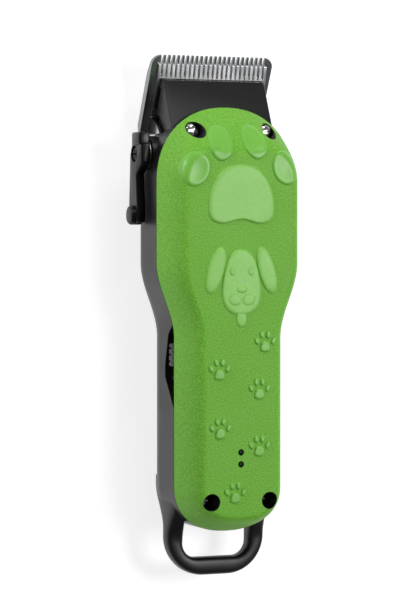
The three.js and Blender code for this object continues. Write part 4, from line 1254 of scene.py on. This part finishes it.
@dataclass
class TaperLever:
    """The side lever with its raised lip, thumb roll, hub and screw, in millimetres."""

    finishes: Finishes
    plate: float = 3.1
    lip: float = 4.4
    lip_rise: float = 0.9
    roll_radius: float = 3.3

    def build(self) -> None:
        """Builds the lever and its screw."""
        low, high = node_box("taper_lever")
        pivot = node_middle("lever_washer")
        inner = high.x - 0.4
        outer = inner - self.plate
        top, foot, base, crown = high.y, low.y, low.z, high.z
        outline = [(top, base + 5.0), (top, crown), (pivot.y - 3, crown - 0.4), (pivot.y - 7, crown - 5.4),
                   (foot + 4, crown - 4.0), (foot + 0.8, crown - 4.6), (foot + 0.8, base + 0.8),
                   (foot + 6, base), (pivot.y, pivot.z - 4.1)]
        lever = to_object(prism(outline, outer, inner, "x", 0.5), "lever_arm")
        lip = [(top - self.lip, base + 5.0), (top, base + 5.0), (top, crown), (top - self.lip, crown)]
        combine(lever, prism(lip, outer - self.lip_rise, inner, "x", 0.7), Join.ADD)
        roll = (0, foot + self.roll_radius, (2 * base + 8.4) / 2)
        combine(lever, rod(self.roll_radius, low.x, inner, "x", roll, 0.9, 56), Join.ADD)
        combine(lever, rod(5.0, inner - 0.5, high.x, "x", pivot), Join.ADD)
        combine(lever, rod(2.7, inner - 0.8, high.x + 1, "x", pivot), Join.CUT)
        combine(lever, rod(1.8, outer - 2, high.x + 1, "x", pivot), Join.CUT)
        combine(lever, rod(2.8, outer - 2, outer + 1.6, "x", pivot), Join.CUT)
        dress(lever, self.finishes.lever, Body.LEVER, ["taper_lever"])
        turn = Matrix.Rotation(-math.pi / 2, 4, "Y")
        screw = moved(CrossScrew(2.45, 1.3, 1.5, 5.6).build(),
                      Matrix.Translation(point(outer + 1.3, pivot.y, pivot.z)) @ turn)
        dress(to_object(screw, "lever_screw_head"), self.finishes.dark_screw, Body.LEVER,
              ["lever_screw"])


@dataclass
class SwitchSlider:
    """The ribbed slider in the switch recess, in millimetres."""

    finishes: Finishes

    def build(self) -> None:
        """Builds the slider with its stem."""
        low, high = node_box("switch_slider")
        knob = to_object(block((low.x, low.y, low.z), (low.x + 2.4, high.y, high.z), 0.5), "slider_knob")
        for i in range(3):
            y = low.y + 1.8 + i * 2.2
            combine(knob, block((low.x - 1, y - 0.35, low.z - 1),
                                (low.x + 0.5, y + 0.35, high.z + 1), 0.1), Join.CUT)
        stem_z = (low.z + high.z) / 2 + 0.2
        stem_y = (low.y + high.y) / 2 + 1
        combine(knob, block((low.x + 2, stem_y - 1.4, stem_z - 1),
                            (high.x, stem_y + 1.4, stem_z + 1), 0.1), Join.ADD)
        dress(knob, self.finishes.lever, Body.SWITCH, ["switch_slider"])


# ------------------------------------------------------------------ frame nodes and stage


def dress_frame(finishes: Finishes) -> None:
    """Gives every frame node that stays in view its finish.

    Args:
        finishes: the finishes by slot.
    """
    slots = {entry["node"]: entry["material_slot"] for entry in frame["record"]["subparts"]}
    for name, obj in frame["nodes"].items():
        if obj.hide_render:
            continue
        material = finishes.slots[slots[name]]
        for place in obj.material_slots:
            place.material = material
        LOG.info("%s keeps its shape and gets %s", name, material.name)


@dataclass(frozen=True)
class Studio:
    """Pale floor, soft light and the camera."""

    turn: float = math.radians(22.5)  # the camera stands this far round from the zenith, towards -X
    distance: float = 0.850
    lens: float = 152.4
    eye_y: float = 21.3
    aim_y: float = 5.7
    aside: float = -10.8

    def camera(self) -> None:
        """Places the camera over the front cover."""
        right = Vector((math.cos(self.turn), 0, math.sin(self.turn)))
        towards = Vector((-math.sin(self.turn), 0, math.cos(self.turn)))
        front = node_box("front_cover")[1].z - 0.8
        aim = point(0, self.aim_y, front) + right * mm(self.aside)
        place = point(0, self.eye_y, front) + right * mm(self.aside) + towards * self.distance
        data = bpy.data.cameras.new("camera")
        data.lens = self.lens
        data.sensor_width = 36
        data.clip_end = 10
        camera = bpy.data.objects.new("camera", data)
        bpy.context.scene.collection.objects.link(camera)
        back = (place - aim).normalized()
        side = Vector((0, 1, 0)).cross(back).normalized()
        up = back.cross(side)
        camera.matrix_world = Matrix.Translation(place) @ Matrix((side, up, back)).transposed().to_4x4()
        bpy.context.scene.camera = camera

    def floor(self) -> None:
        """A pale matt floor under the part."""
        bm = bmesh.new()
        bmesh.ops.create_grid(bm, x_segments=2, y_segments=2, size=2.0)
        floor = to_object(bm, "floor")
        floor.location.z = CAD_BOX[0][2] - 0.0002
        material, tree = blank_material("pale_floor")
        surface(tree, {"Base Color": linear("B0B0B0"), "Roughness": 0.9,
                       "Emission Color": linear("FFFFFF"), "Emission Strength": 0.78})
        floor.data.materials.append(material)

    def lamp(self, name: str, place: Sequence[float], aim: Sequence[float], size: float, power: float,
             spread: float = 180) -> None:
        """A square soft light.

        Args:
            name: the light's name.
            place: where it stands, in metres.
            aim: what it points at.
            size: side of the square.
            power: watts.
            spread: width of the beam, in degrees.
        """
        data = bpy.data.lights.new(name, "AREA")
        data.size = size
        data.energy = power
        data.spread = math.radians(spread)
        light = bpy.data.objects.new(name, data)
        bpy.context.scene.collection.objects.link(light)
        direction = Vector(aim) - Vector(place)
        light.location = place
        light.rotation_euler = direction.to_track_quat("-Z", "Y").to_euler()

    def build(self) -> None:
        """Sets up the camera, the floor and the lights."""
        self.camera()
        self.floor()
        world = bpy.data.worlds.new("studio")
        world.use_nodes = True
        world.node_tree.nodes["Background"].inputs[0].default_value = (1, 1, 1, 1)
        world.node_tree.nodes["Background"].inputs[1].default_value = 0.17
        bpy.context.scene.world = world
        bpy.context.scene.view_settings.view_transform = "Standard"
        self.lamp("key", (0.45, 0.1, 0.85), (0, 0, 0.02), 0.35, 5.2)
        self.lamp("side", (-0.45, 0.32, 0.12), (-0.02, 0.075, 0.02), 0.15, 0.1, 50)
        self.lamp("top", (0.1, 0.8, 0.6), (0, 0.06, 0.02), 0.35, 2.0)


def main() -> None:
    """Builds the clipper's looks and the stage."""
    logging.basicConfig(level=logging.INFO, format="%(name)s: %(message)s")
    finishes = Finishes()
    plan = PlanOutline()
    FrontCover(plan, finishes).build()
    RearHousing(plan, finishes).build()
    Blades(BladeFrame(), finishes).build()
    TaperLever(finishes).build()
    SwitchSlider(finishes).build()
    dress_frame(finishes)
    Studio().build()


if __name__ == "__main__":
    main()
